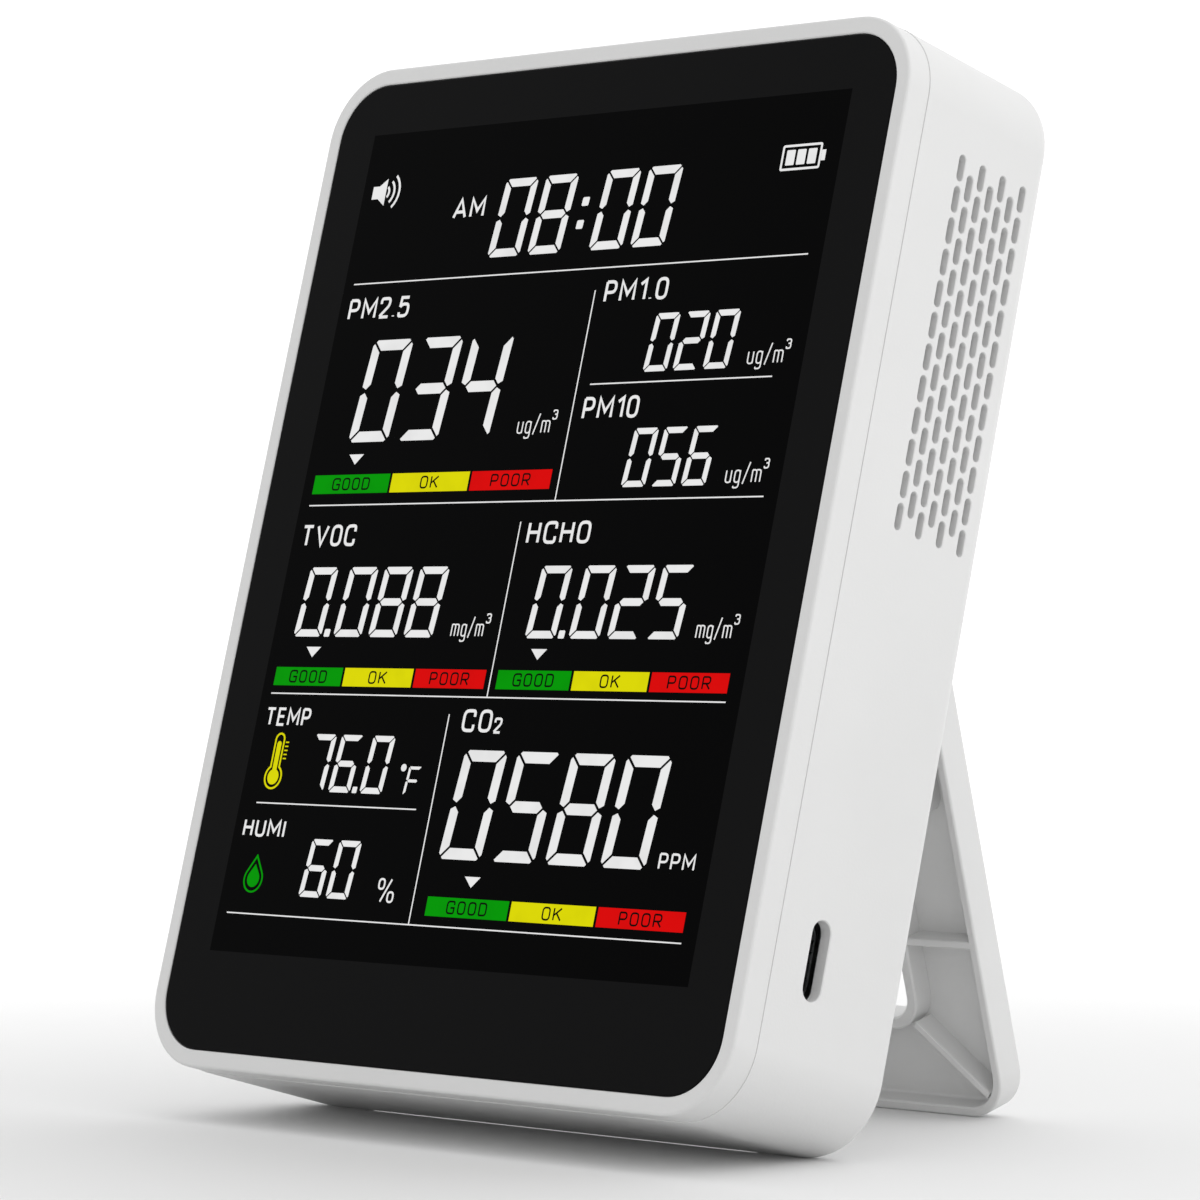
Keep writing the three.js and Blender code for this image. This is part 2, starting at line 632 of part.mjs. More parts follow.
function buttonBoard() {
  const { halfLength, halfWidth, holeRadius } = KEY_BOARD;
  const bottomZ = KEY_BOARD_TOP_Z - BOARD_THICKNESS;
  const frontY = BUTTON_Y - halfWidth;
  const strip = block(-halfLength, halfLength, frontY, frontY + 2 * halfWidth, bottomZ, KEY_BOARD_TOP_Z);
  const holes = [-1, 1].map((side) => (
    rodZ(side * KEY_BOARD_SCREW_X, BUTTON_Y, holeRadius, bottomZ - CUT, KEY_BOARD_TOP_Z + CUT, 10)
  ));
  return cut(strip, ...holes);
}

// The board hangs from two posts under the top wall, so its screws go in from below.
function buttonBoardScrew(x) {
  const headTop = KEY_BOARD_TOP_Z - BOARD_THICKNESS - GAP;
  const head = rodZ(x, BUTTON_Y, 1.9, headTop - 1.4, headTop, 16);
  return head.add(rodZ(x, BUTTON_Y, 0.7, headTop - 0.2, KEY_PILOT_TOP_Z - 1, 10));
}

// ---------- Rear housing ----------

const BOSS_RADIUS = 3.2;
const BOSS_FRONT_Y = 11;
const BORE_RADIUS = 2.5;
const SHANK_HOLE_RADIUS = 1.4;
const LUG_THICKNESS = 4;
const LUG_RADIUS = 2.6;
const KEY_POST_RADIUS = 2.2;
const KEY_PILOT_RADIUS = 0.8;

// The slots are cut square-ended, at the full length and width of the round-ended ones.
function ventSlots(side) {
  const inner = side * (INNER_HALF_WIDTH - CUT);
  const outer = side * (HALF_WIDTH + CUT);
  const slots = [];
  for (let column = 0; column < VENT_COLUMNS; column += 1) {
    const staggered = column % 2 === 1;
    const rows = staggered ? VENT_ROWS - 1 : VENT_ROWS;
    const topZ = staggered ? VENT_TOP_Z - VENT_ROW_PITCH / 2 : VENT_TOP_Z;
    for (let row = 0; row < rows; row += 1) {
      const slot = new THREE.BoxGeometry(Math.abs(outer - inner), VENT_WIDTH, VENT_LENGTH);
      const y = VENT_FIRST_Y + column * VENT_COLUMN_PITCH;
      slot.translate((inner + outer) / 2, y, topZ - row * VENT_ROW_PITCH);
      slots.push(slot);
    }
  }
  return solidOf(mergeGeometries(slots));
}

function hingeLug(side) {
  const inner = side * RECESS_HALF_WIDTH;
  const outer = side * (RECESS_HALF_WIDTH + LUG_THICKNESS);
  const x0 = Math.min(inner, outer);
  const x1 = Math.max(inner, outer);
  return join(
    rodX(HINGE_Y, HINGE_Z, LUG_RADIUS, x0, x1, 20),
    block(x0, x1, CASE_DEPTH - WALL / 2, HINGE_Y, HINGE_Z - LUG_RADIUS, HINGE_Z + LUG_RADIUS),
  );
}

function screwBoss([x, z]) {
  return rodY(x, z, BOSS_RADIUS, BOSS_FRONT_Y, INNER_BACK_Y + WALL / 2, 20);
}

function screwBore([x, z]) {
  return join(
    rodY(x, z, BORE_RADIUS, SCREW_SEAT_Y, CASE_DEPTH + CUT, 20),
    rodY(x, z, SHANK_HOLE_RADIUS, BOSS_FRONT_Y - CUT, CASE_DEPTH, 12),
  );
}

function keyPost(side) {
  const top = INNER_HALF_HEIGHT + WALL / 2;
  return rodZ(side * KEY_BOARD_SCREW_X, BUTTON_Y, KEY_POST_RADIUS, KEY_BOARD_TOP_Z + GAP, top);
}

function keyPilot(side) {
  return rodZ(side * KEY_BOARD_SCREW_X, BUTTON_Y, KEY_PILOT_RADIUS, KEY_BOARD_TOP_Z, KEY_PILOT_TOP_Z, 10);
}

function buttonHole(name, index) {
  return rodZ(buttonX(index), BUTTON_Y, BUTTON_RADIUS + GAP, INNER_HALF_HEIGHT - CUT, HALF_HEIGHT + CUT);
}

// The rounded outer box, hollowed from the parting line back.
function housingShell() {
  const outline = centredRect(HALF_WIDTH, HALF_HEIGHT, CORNER_RADIUS);
  const whole = filletedPlate(outline, -PARTING_Y, CASE_DEPTH, REAR_FILLET, 2);
  const frontY = PARTING_Y + PARTING_GAP;
  const behindParting = block(-HALF_WIDTH, HALF_WIDTH, frontY, CASE_DEPTH, -HALF_HEIGHT, HALF_HEIGHT);
  const cavity = centredRect(INNER_HALF_WIDTH, INNER_HALF_HEIGHT, CORNER_RADIUS - WALL);
  return whole.intersect(behindParting).subtract(plate(cavity, PARTING_Y - CUT, INNER_BACK_Y));
}

// A shallow recess for the folded stand, open at the bottom, and a deeper pocket for its heel.
function standRecess(grow, backY) {
  const halfWidth = RECESS_HALF_WIDTH + grow;
  const bottom = -HALF_HEIGHT - CUT;
  const top = RECESS_TOP_Z + grow;
  return join(
    block(-halfWidth, halfWidth, RECESS_FLOOR_Y - grow, backY, bottom, top),
    block(-halfWidth, halfWidth, HEEL_POCKET_Y - grow, backY, HEEL_POCKET_BOTTOM_Z - grow, top),
  );
}

function rearHousing() {
  const tub = standRecess(WALL, INNER_BACK_Y + WALL / 2);
  const aboveFloor = block(-HALF_WIDTH, HALF_WIDTH, 0, CASE_DEPTH, -HALF_HEIGHT + WALL / 2, HALF_HEIGHT);
  const usbCut = usbPrism(USB_CUT_WIDTH, USB_CUT_HEIGHT, INNER_HALF_WIDTH - CUT, HALF_WIDTH + CUT, 4);
  const pinReach = RECESS_HALF_WIDTH + LUG_THICKNESS + RUNNING_GAP;
  const pinHole = rodX(HINGE_Y, HINGE_Z, HINGE_PIN_RADIUS + RUNNING_GAP, -pinReach, pinReach, 16);
  const solid = join(
    housingShell(),
    tub.intersect(aboveFloor),
    ...HOUSING_SCREWS.map(screwBoss),
    keyPost(-1),
    keyPost(1),
    hingeLug(-1),
    hingeLug(1),
  );
  return cut(
    solid,
    standRecess(0, CASE_DEPTH + CUT),
    ...HOUSING_SCREWS.map(screwBore),
    keyPilot(-1),
    keyPilot(1),
    ...BUTTON_NAMES.map(buttonHole),
    ventSlots(-1),
    ventSlots(1),
    usbCut,
    pinHole,
  );
}

function ventMesh(side) {
  const near = side * (INNER_HALF_WIDTH - 0.3);
  const far = side * (INNER_HALF_WIDTH - 0.8);
  const y0 = VENT_FIRST_Y - 1.5;
  const y1 = VENT_FIRST_Y + (VENT_COLUMNS - 1) * VENT_COLUMN_PITCH + 1.5;
  const z0 = VENT_TOP_Z - (VENT_ROWS - 1) * VENT_ROW_PITCH - 4;
  return block(Math.min(near, far), Math.max(near, far), y0, y1, z0, VENT_TOP_Z + 4);
}

// ---------- Kickstand: folded pose, with the hinge line as the origin ----------

const STAND_FRONT_Y = -STAND_THICKNESS / 2;
const STAND_BACK_Y = STAND_THICKNESS / 2;
const STAND_FLOOR_Y = STAND_BACK_Y - STAND_SKIN;
const RIB_BACK_Y = STAND_FLOOR_Y + STAND_SKIN / 2;
const STAND_WINDOW = { halfWidth: 20.2, top: -58.6, bottom: -80, corner: 3, wall: 1.7 };
const STAND_UPPER_WALL = { halfWidth: 29.6, top: -11, bottom: -51.8, corner: 2, wall: 1.2 };
const HINGE_BAR_DEPTH = 4.2;
const PIN_DEPTH = 8;
const CROSS_RIB_Z = -69.2;
const STAND_TOP_CORNER = 1;

function grownOutline({ halfWidth, top, bottom, corner }, grow) {
  return roundedRect(-halfWidth - grow, halfWidth + grow, bottom - grow, top + grow, corner + grow);
}

// A straight rib between two [x, z] points, from the rim plane down into the skin.
function standRib([xa, za], [xb, zb]) {
  const length = Math.hypot(xb - xa, zb - za);
  const geometry = new THREE.BoxGeometry(length, RIB_BACK_Y - STAND_FRONT_Y, STAND_RIB);
  geometry.rotateY(-Math.atan2(zb - za, xb - xa));
  geometry.translate((xa + xb) / 2, (STAND_FRONT_Y + RIB_BACK_Y) / 2, (za + zb) / 2);
  return solidOf(geometry);
}

function kickstand() {
  const halfWidth = STAND_HALF_WIDTH;
  const lower = roundedRect(-halfWidth, halfWidth, -STAND_LENGTH, STAND_HEEL, STAND_CORNER);
  const upper = roundedRect(-halfWidth, halfWidth, -STAND_LENGTH / 2, STAND_HEEL, STAND_TOP_CORNER);
  const slab = join(plate(lower, STAND_FRONT_Y, STAND_BACK_Y), plate(upper, STAND_FRONT_Y, STAND_BACK_Y, 1));
  const innerHalfWidth = halfWidth - STAND_RIM;
  const tray = plate(roundedRect(-innerHalfWidth, innerHalfWidth, -STAND_LENGTH + STAND_RIM,
    -HINGE_BAR_DEPTH, STAND_CORNER - STAND_RIM), STAND_FRONT_Y - CUT, STAND_FLOOR_Y);
  const windowWall = plate(grownOutline(STAND_WINDOW, STAND_WINDOW.wall), STAND_FRONT_Y, RIB_BACK_Y);
  const upperWall = cut(
    plate(grownOutline(STAND_UPPER_WALL, 0), STAND_FRONT_Y, RIB_BACK_Y, 1),
    plate(grownOutline(STAND_UPPER_WALL, -STAND_UPPER_WALL.wall), STAND_FRONT_Y - CUT, RIB_BACK_Y + CUT, 1),
  );
  const wallX = STAND_WINDOW.halfWidth + STAND_WINDOW.wall - 0.5;
  const wallBottom = STAND_WINDOW.bottom - STAND_WINDOW.wall + 1;
  const cornerX = innerHalfWidth - 1.2;
  const cornerZ = -STAND_LENGTH + 3.2;
  const ribs = [-1, 1].flatMap((side) => [
    standRib([side * wallX, CROSS_RIB_Z], [side * (innerHalfWidth + 0.5), CROSS_RIB_Z]),
    standRib([side * (wallX - 0.5), wallBottom], [side * cornerX, cornerZ]),
  ]);
  const spine = standRib([0, STAND_UPPER_WALL.bottom + 0.5], [0, STAND_WINDOW.top + 0.5]);
  const pinHoles = [-1, 1].map((side) => {
    const inner = side * (STAND_HALF_WIDTH - PIN_DEPTH - 0.3);
    const outer = side * (STAND_HALF_WIDTH + CUT);
    return rodX(0, 0, HINGE_PIN_RADIUS + RUNNING_GAP, Math.min(inner, outer), Math.max(inner, outer));
  });
  return cut(
    join(slab.subtract(tray), windowWall, upperWall, ...ribs, spine),
    plate(grownOutline(STAND_WINDOW, 0), STAND_FRONT_Y - CUT, STAND_BACK_Y + CUT),
    ...pinHoles,
  );
}

function hingePin(side) {
  const inner = side * (STAND_HALF_WIDTH - PIN_DEPTH);
  const outer = side * (RECESS_HALF_WIDTH + LUG_THICKNESS - 0.2);
  return rodX(HINGE_Y, HINGE_Z, HINGE_PIN_RADIUS, Math.min(inner, outer), Math.max(inner, outer));
}

// ---------- Assembly ----------

addPart(body, 'front_frame', frontFrame(), whitePlastic());
addPart(body, 'front_glass', frontGlass(), glossBlack());
addPart(body, 'glass_adhesive', glassAdhesive(), blackFoam());
addPart(body, 'lcd_panel', lcdCell(), finish(0x15171a, 0.25));
addPart(body, 'backlight_guide', backlightGuide(), lightFilm());
addPart(body, 'lcd_holder', lcdHolder(), lightFilm());
addPart(body, 'lcd_flex', lcdFlex(), amberFilm());
addPart(body, 'flex_connector', flexConnector(), finish(0xe3dfd0, 0.6));
addPart(body, 'main_board', mainBoard(), greenBoard());
BOARD_SCREWS.forEach((place, i) => {
  addPart(body, `board_screw_${i + 1}`, screw(place, BOARD_SCREW), steel());
});
addPart(body, 'main_processor', chip(PROCESSOR), blackPlastic());
addPart(body, 'climate_sensor', chip(CLIMATE), blackPlastic());
addPart(body, 'usb_c_shell', usbShell(), steel());
addPart(body, 'usb_c_tongue', usbTongue(), blackPlastic());
addPart(body, 'buzzer', buzzer(), blackPlastic());
addPart(body, 'co2_sensor', co2Sensor(), goldMetal());
addPart(body, 'co2_filter', co2Filter(), finish(0xf2f2f2, 0.9));
addPart(body, 'gas_sensor', gasSensor(), steel());
addPart(body, 'formaldehyde_sensor', formaldehydeSensor(), blackPlastic());
addPart(body, 'dust_sensor_case', dustCase(), finish(0x2a4d8f, 0.5));
addPart(body, 'dust_sensor_lid', dustLid(), steel());
addPart(body, 'dust_fan_axle', fanAxle(), steel());
addPart(body, 'dust_fan_rotor', fanRotor(), blackPlastic());
addPart(body, 'dust_laser', dustLaser(), goldMetal());
addPart(body, 'battery', battery(), bluePouch());
addPart(body, 'battery_pad', batteryPad(), blackFoam());
addPart(body, 'battery_plug', batteryPlug(), finish(0xf0ede4, 0.6));
addPart(body, 'battery_lead', batteryLead(), finish(0xb02323, 0.5));
BUTTON_NAMES.forEach((name, i) => {
  addPart(body, `button_${name}`, buttonCap(buttonX(i)), whitePlastic());
  addPart(body, `switch_${name}`, tactSwitch(buttonX(i)), blackPlastic());
});
addPart(body, 'button_board', buttonBoard(), greenBoard());
addPart(body, 'button_board_screw_left', buttonBoardScrew(-KEY_BOARD_SCREW_X), steel());
addPart(body, 'button_board_screw_right', buttonBoardScrew(KEY_BOARD_SCREW_X), steel());
addPart(body, 'rear_housing', rearHousing(), whitePlastic());
addPart(body, 'vent_mesh_left', ventMesh(-1), greyFelt());
addPart(body, 'vent_mesh_right', ventMesh(1), greyFelt());
HOUSING_SCREWS.forEach((place, i) => {
  addPart(body, `housing_screw_${i + 1}`, screw(place, HOUSING_SCREW), steel());
});
addPart(body, 'hinge_pin_left', hingePin(-1), steel());
addPart(body, 'hinge_pin_right', hingePin(1), steel());
addPart(stand, 'kickstand', kickstand(), whitePlastic());

// ---------- Posture: the stand swings out, and the case leans back until both touch the table ----------

stand.position.set(0, HINGE_Y, HINGE_Z);
stand.rotation.x = STAND_OPEN_ANGLE;

// The stand rests on the front edge of its foot, and the case on its filleted rear bottom edge.
const footEdge = new THREE.Vector3(0, STAND_FRONT_Y, -STAND_LENGTH).applyAxisAngle(AXIS_X, STAND_OPEN_ANGLE);
footEdge.add(stand.position);
const run = footEdge.y - (CASE_DEPTH - REAR_FILLET);
const rise = footEdge.z - (REAR_FILLET - HALF_HEIGHT);
const LEAN_ANGLE = Math.atan2(rise, run) + Math.asin(REAR_FILLET / Math.hypot(rise, run));
body.rotation.x = -LEAN_ANGLE;

const extent = new THREE.Box3().setFromObject(group, true);
body.position.set(0, -(extent.min.y + extent.max.y) / 2, -extent.min.z);

export default group;
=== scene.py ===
"""The looks of an air quality monitor standing on its open kickstand, built around its CAD frame.

Case pieces are drawn in the case's own axes, in millimetres: X to the right, Y back from the front
face, Z up the case, from the centre of the front face. The stand is drawn folded, from the middle
of its hinge line. case_matrix() and stand_matrix() put both into the row frame.
"""

import json
import math

import bmesh
import bpy
from mathutils import Matrix, Vector


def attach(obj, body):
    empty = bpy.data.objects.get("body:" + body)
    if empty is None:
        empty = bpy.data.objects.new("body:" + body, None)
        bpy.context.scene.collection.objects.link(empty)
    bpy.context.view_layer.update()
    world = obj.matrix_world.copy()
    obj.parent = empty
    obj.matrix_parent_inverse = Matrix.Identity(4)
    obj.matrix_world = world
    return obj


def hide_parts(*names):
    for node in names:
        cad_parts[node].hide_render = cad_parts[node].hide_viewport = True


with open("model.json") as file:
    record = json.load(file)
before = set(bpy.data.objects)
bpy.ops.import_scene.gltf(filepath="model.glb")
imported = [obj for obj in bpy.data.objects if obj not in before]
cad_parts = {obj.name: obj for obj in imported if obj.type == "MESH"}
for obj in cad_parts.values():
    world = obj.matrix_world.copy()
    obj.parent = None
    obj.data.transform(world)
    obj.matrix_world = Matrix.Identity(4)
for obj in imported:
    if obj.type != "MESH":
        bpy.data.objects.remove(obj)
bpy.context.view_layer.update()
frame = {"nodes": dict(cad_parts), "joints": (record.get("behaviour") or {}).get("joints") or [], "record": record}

# ---------- Driving dimensions, in millimetres ----------

MM = 0.001
CASE_WIDTH = 104.6
CASE_HEIGHT = 138.8
CASE_DEPTH = 28.5
CORNER_RADIUS = 10
REAR_FILLET = 2
FRONT_FILLET = 0.41
WALL = 1.6
PARTING_Y = 4
PARTING_GAP = 0.01
FRAME_STEP = 0.1
CUT = 1
CLEARANCE = 0.1
EDGE = 0.15
SEAM_EDGE = 0.04

GLASS_WIDTH = 100
GLASS_HEIGHT = 133.8
GLASS_CORNER = 7.6
GLASS_FRONT_Y = 0.05
GLASS_BACK_Y = 1.85
LEDGE_Y = 2.25
WINDOW_HALF_WIDTH = 43.1
WINDOW_BOTTOM = -53.7
WINDOW_TOP = 59.7

# A box is: left, right, bottom, top, radius of the top corners, radius of the bottom corners.
LCD_OPENING = (-46, 46, -57.2, 61.8, 1.5, 1.5)
TONGUE_THICKNESS = 1.2
TONGUE_BACK_Y = 6.5
POST_RADIUS = 2.6
POST_BACK_Y = 10.7
PILOT_RADIUS = 1.15
PILOT_BACK_Y = 12
CHAMFER = 0.2

VENT_COLUMNS = 7
VENT_ROWS = 12
VENT_FIRST_Y = 12.2
VENT_COLUMN_PITCH = 2.03
VENT_ROW_PITCH = 4.08
VENT_TOP_Z = 52.85
VENT_WIDTH = 1.2
VENT_LENGTH = 3.4

USB_Y = 11.68
USB_Z = -47.55
USB_WIDTH = 3.3
USB_HEIGHT = 9.9

BUTTON_NAMES = ("power", "menu", "down", "up")
BUTTON_SPACING = 14
BUTTON_Y = 15.5
BUTTON_RADIUS = 3.2
BUTTON_PROUD = 0.6
BUTTON_FILLET = 0.45
FLANGE_WIDTH = 1
FLANGE_THICKNESS = 0.9
FLANGE_GAP = 0.4
STEM_RADIUS = 1.5
STEM_BOTTOM_Z = 65
KEY_POST_X = 31
KEY_POST_RADIUS = 2.2
KEY_POST_BOTTOM_Z = 61.2

SCREW_PLACES = ((-42.3, 65), (42.3, 65), (-42.3, -62.5), (42.3, -62.5))
SCREW_SEAT_Y = 12.7
SCREW_TIP_Y = 5.6
SCREW_SHANK_RADIUS = 1.05
SCREW_HEAD_RADIUS = 2.3
SCREW_HEAD_HEIGHT = 1.8
SCREW_HEAD_FILLET = 0.8
BOSS_RADIUS = 3.2
BOSS_FRONT_Y = 11
BORE_RADIUS = 2.5
SHANK_HOLE_RADIUS = 1.4

STAND_HALF_WIDTH = 34
STAND_THICKNESS = 4.7
STAND_LENGTH = 93.2
STAND_HEEL = 4
STAND_CORNER = 6
STAND_RIM = 1.3
STAND_SKIN = 1.5
STAND_LIFT = 0.3
STAND_WINDOW = (-20.2, 20.2, -80, -58.6, 3, 3)
STAND_WINDOW_WALL = 1.7
STAND_UPPER_BOX = (-29.6, 29.6, -51.8, -11, 2, 2)
STAND_UPPER_WALL = 1.2
CROSS_RIB_Z = -69.2
RIB_THICKNESS = 1
RECESS_DEPTH = 2
HEEL_POCKET_Y = 24.8
HINGE_Z = 25.1
HINGE_BAR_DEPTH = 4.2
HINGE_PIN_RADIUS = 1
PIN_DEPTH = 8
PIN_CLEARANCE = 0.05
LUG_THICKNESS = 4
LUG_RADIUS = 2.6

# ---------- Worked out from them ----------

HALF_WIDTH = CASE_WIDTH / 2
HALF_HEIGHT = CASE_HEIGHT / 2
INNER_BACK_Y = CASE_DEPTH - WALL
RECESS_FLOOR_Y = CASE_DEPTH - RECESS_DEPTH
RECESS_HALF_WIDTH = STAND_HALF_WIDTH + 0.6
RECESS_TOP_Z = HINGE_Z + STAND_HEEL + 1.2
HINGE_Y = RECESS_FLOOR_Y + STAND_LIFT + STAND_THICKNESS / 2
HEEL_POCKET_BOTTOM_Z = HINGE_Z - 1.5
LUG_OUTER_X = RECESS_HALF_WIDTH + LUG_THICKNESS
STAND_FRONT_Y = -STAND_THICKNESS / 2
STAND_BACK_Y = STAND_THICKNESS / 2
STAND_FLOOR_Y = STAND_BACK_Y - STAND_SKIN
RIB_BACK_Y = STAND_FLOOR_Y + 0.7


# ---------- The case's and the stand's places in the row frame ----------

def mount(name):
    """A mount's point and its outward axis, in the row frame."""
    found = next(m for m in frame["record"]["mounts"] if m["name"] == name)
    return Vector(found["pos_m"]), Vector(found["axis"])


def joint(name):
    return next(j for j in frame["joints"] if j["name"] == name)


def case_matrix():
    back_point, back = mount("back_face")
    under_point, down = mount("underside")
    up = -down
    right = back.cross(up)
    from_back = back_point.dot(back) - CASE_DEPTH * MM
    from_below = under_point.dot(up) + HALF_HEIGHT * MM
    origin = back * from_back + up * from_below
    return Matrix.Translation(origin) @ Matrix((right, back, up)).transposed().to_4x4()


def stand_matrix():
    hinge = joint("kickstand_hinge")
    opened = math.radians(hinge["range_deg"][1])
    unfold = Matrix.Rotation(opened, 4, "X")
    lean = CASE.to_quaternion().to_matrix().to_4x4()
    return Matrix.Translation(Vector(hinge["pos_m"])) @ lean @ unfold


CASE = case_matrix()
STAND = stand_matrix()


# ---------- Mesh building: outlines, lofts, booleans ----------

# How an outline's (u, v) and a level become a point: on the front, on the side or on the top.
PLANES = {
    "front": lambda u, v, level: Vector((u, level, v)),
    "side": lambda u, v, level: Vector((level, u, v)),
    "top": lambda u, v, level: Vector((u, v, level)),
}


def arc_points(u, v, radius, start, end, steps):
    """Points on an arc about (u, v); the angles are in quarter turns."""
    angles = [(start + (end - start) * i / steps) * math.pi / 2 for i in range(steps + 1)]
    return [(u + radius * math.cos(a), v + radius * math.sin(a)) for a in angles]


def rounded_rect(u0, u1, v0, v1, top_radius, bottom_radius=None, steps=10):
    low = top_radius if bottom_radius is None else bottom_radius
    return (
        arc_points(u1 - top_radius, v1 - top_radius, top_radius, 0, 1, steps)
        + arc_points(u0 + top_radius, v1 - top_radius, top_radius, 1, 2, steps)
        + arc_points(u0 + low, v0 + low, low, 2, 3, steps)
        + arc_points(u1 - low, v0 + low, low, 3, 4, steps)
    )


def rect(half_width, half_height, radius):
    return (-half_width, half_width, -half_height, half_height, radius, radius)


def disc(u, v, radius):
    return (u - radius, u + radius, v - radius, v + radius, radius, radius)


def inset_outline(box, inset, steps):
    u0, u1, v0, v1, top, bottom = box
    smallest = 0.02
    return rounded_rect(
        u0 + inset, u1 - inset, v0 + inset, v1 - inset,
        max(top - inset, smallest), max(bottom - inset, smallest), steps,
    )


def fillet(inset, level, radius, start, end, steps=6):
    """Profile points on an arc about (inset, level)."""
    return arc_points(inset, level, radius, start, end, steps)


def loft(outlines, plane="front", ring=False):
    """A closed mesh through outlines of equal length, each (points, level).

    A ring joins its last outline to its first, in place of two end faces.
    """
    mesh = bmesh.new()
    rows = [[mesh.verts.new(PLANES[plane](u, v, level)) for u, v in points] for points, level in outlines]
    pairs = list(zip(rows, rows[1:]))
    if ring:
        pairs.append((rows[-1], rows[0]))
    count = len(rows[0])
    for row, following in pairs:
        for i in range(count):
            j = (i + 1) % count
            mesh.faces.new((row[i], row[j], following[j], following[i]))
    if not ring:
        mesh.faces.new(rows[0])
        mesh.faces.new(rows[-1])
    bmesh.ops.remove_doubles(mesh, verts=mesh.verts, dist=1e-4)
    bmesh.ops.recalc_face_normals(mesh, faces=mesh.faces)
    return mesh


def solid(box, profile, plane="front", ring=False, steps=10):
    """A loft of one rounded rectangle along a profile of (inset, level) points."""
    return loft([(inset_outline(box, inset, steps), level) for inset, level in profile], plane, ring)


def block(x0, x1, y0, y1, z0, z1):
    return solid((x0, x1, z0, z1, 0.05, 0.05), [(0, y0), (0, y1)], steps=1)


def mouth(face):
    """The end of a cutter's profile, where it leaves by a face and softens the edge."""
    return [(0, face - EDGE), (-EDGE, face), (-EDGE, face + CUT)]


def prism(points, y0, y1):
    return loft([(points, y0), (points, y1)])


def strip(outer, inner, y0, y1):
    """The flat strip between two outlines of equal length."""
    return loft([(outer, y0), (outer, y1), (inner, y1), (inner, y0)], ring=True)


def rectangle(left, right, bottom, top):
    return [(left, bottom), (right, bottom), (right, top), (left, top)]


def at_screws(radius, profile):
    """The same round shape at each of the four housing screws."""
    return merged([solid(disc(x, z, radius), profile) for x, z in SCREW_PLACES])


def moved(mesh, matrix):
    bmesh.ops.transform(mesh, matrix=matrix, verts=mesh.verts)
    return mesh


def merged(meshes):
    """Separate closed meshes as one."""
    together = bmesh.new()
    for part in meshes:
        data = bpy.data.meshes.new("part")
        part.to_mesh(data)
        part.free()
        together.from_mesh(data)
        bpy.data.meshes.remove(data)
    return together


def linked(name, data):
    """A new object in the scene."""
    made = bpy.data.objects.new(name, data)
    bpy.context.scene.collection.objects.link(made)
    return made


def plain_object(name, mesh):
    data = bpy.data.meshes.new(name)
    mesh.to_mesh(data)
    mesh.free()
    return linked(name, data)


def baked(target):
    """The object's mesh with its modifiers applied."""
    bpy.context.view_layer.update()
    graph = bpy.context.evaluated_depsgraph_get()
    data = bpy.data.meshes.new_from_object(target.evaluated_get(graph))
    result = bmesh.new()
    result.from_mesh(data)
    bpy.data.meshes.remove(data)
    return result


def combine(base, steps):
    """Joins and cuts base by each (operation, mesh) in turn."""
    target = plain_object("base", base)
    tools = []
    for operation, mesh in steps:
        tool = plain_object("tool", mesh)
        modifier = target.modifiers.new("combine", "BOOLEAN")
        modifier.solver = "MANIFOLD"
        modifier.operation = operation
        modifier.object = tool
        tools.append(tool)
    result = baked(target)
    for used in (target, *tools):
        bpy.data.objects.remove(used)
    bmesh.ops.remove_doubles(result, verts=result.verts, dist=1e-4)
    bmesh.ops.dissolve_degenerate(result, edges=result.edges, dist=1e-5)
    return result


def piece(name, mesh, matrix, body, material, stands_for=(), crease=28):
    """A finished piece: in metres in the row frame, smooth but for its creases, riding on its body."""
    made = plain_object(name, moved(mesh, matrix @ Matrix.Scale(MM, 4)))
    made.data.shade_smooth()
    made.data.set_sharp_from_angle(angle=math.radians(crease))
    normals = made.modifiers.new("normals", "WEIGHTED_NORMAL")
    normals.keep_sharp = True
    made.data.materials.append(material)
    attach(made, body)
    if stands_for:
        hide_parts(*stands_for)
    return made


# ---------- Materials ----------

def new_material(name):
    material = bpy.data.materials.new(name)
    material.use_nodes = True
    shader = material.node_tree.nodes["Principled BSDF"]
    return material, material.node_tree, shader


def set_inputs(target, values):
    for key, value in values.items():
        target.inputs[key].default_value = value


def join(tree, output, target, name):
    tree.links.new(output, target.inputs[name])


def node(tree, kind, values=None, **settings):
    """A new shader node with its settings, and with values for those inputs that nothing is linked to."""
    made = tree.nodes.new("ShaderNode" + kind)
    for key, value in settings.items():
        setattr(made, key, value)
    set_inputs(made, values or {})
    return made


def own_place(tree):
    """Where a point is on its object, in metres."""
    return node(tree, "TexCoord").outputs["Object"]


def noise(tree, scale, detail=4, roughness=0.5):
    """Noise over the object: its grains are about 1 / scale metres across."""
    made = node(tree, "TexNoise", {"Scale": scale, "Detail": detail, "Roughness": roughness})
    join(tree, own_place(tree), made, "Vector")
    return made.outputs["Fac"]


def spread(tree, value, low, high):
    """Maps noise's middle range to the numbers from low to high."""
    made = node(tree, "MapRange", {"From Min": 0.3, "From Max": 0.7, "To Min": low, "To Max": high})
    join(tree, value, made, "Value")
    return made.outputs["Result"]


def blend_colors(tree, value, first, second):
    made = node(tree, "Mix", {"A": (*first, 1), "B": (*second, 1)}, data_type="RGBA")
    join(tree, value, made, "Factor")
    return made.outputs["Result"]


def bump(tree, shader, height, distance_mm, strength=1.0):
    made = node(tree, "Bump", {"Distance": distance_mm * MM, "Strength": strength})
    join(tree, height, made, "Height")
    join(tree, made.outputs["Normal"], shader, "Normal")


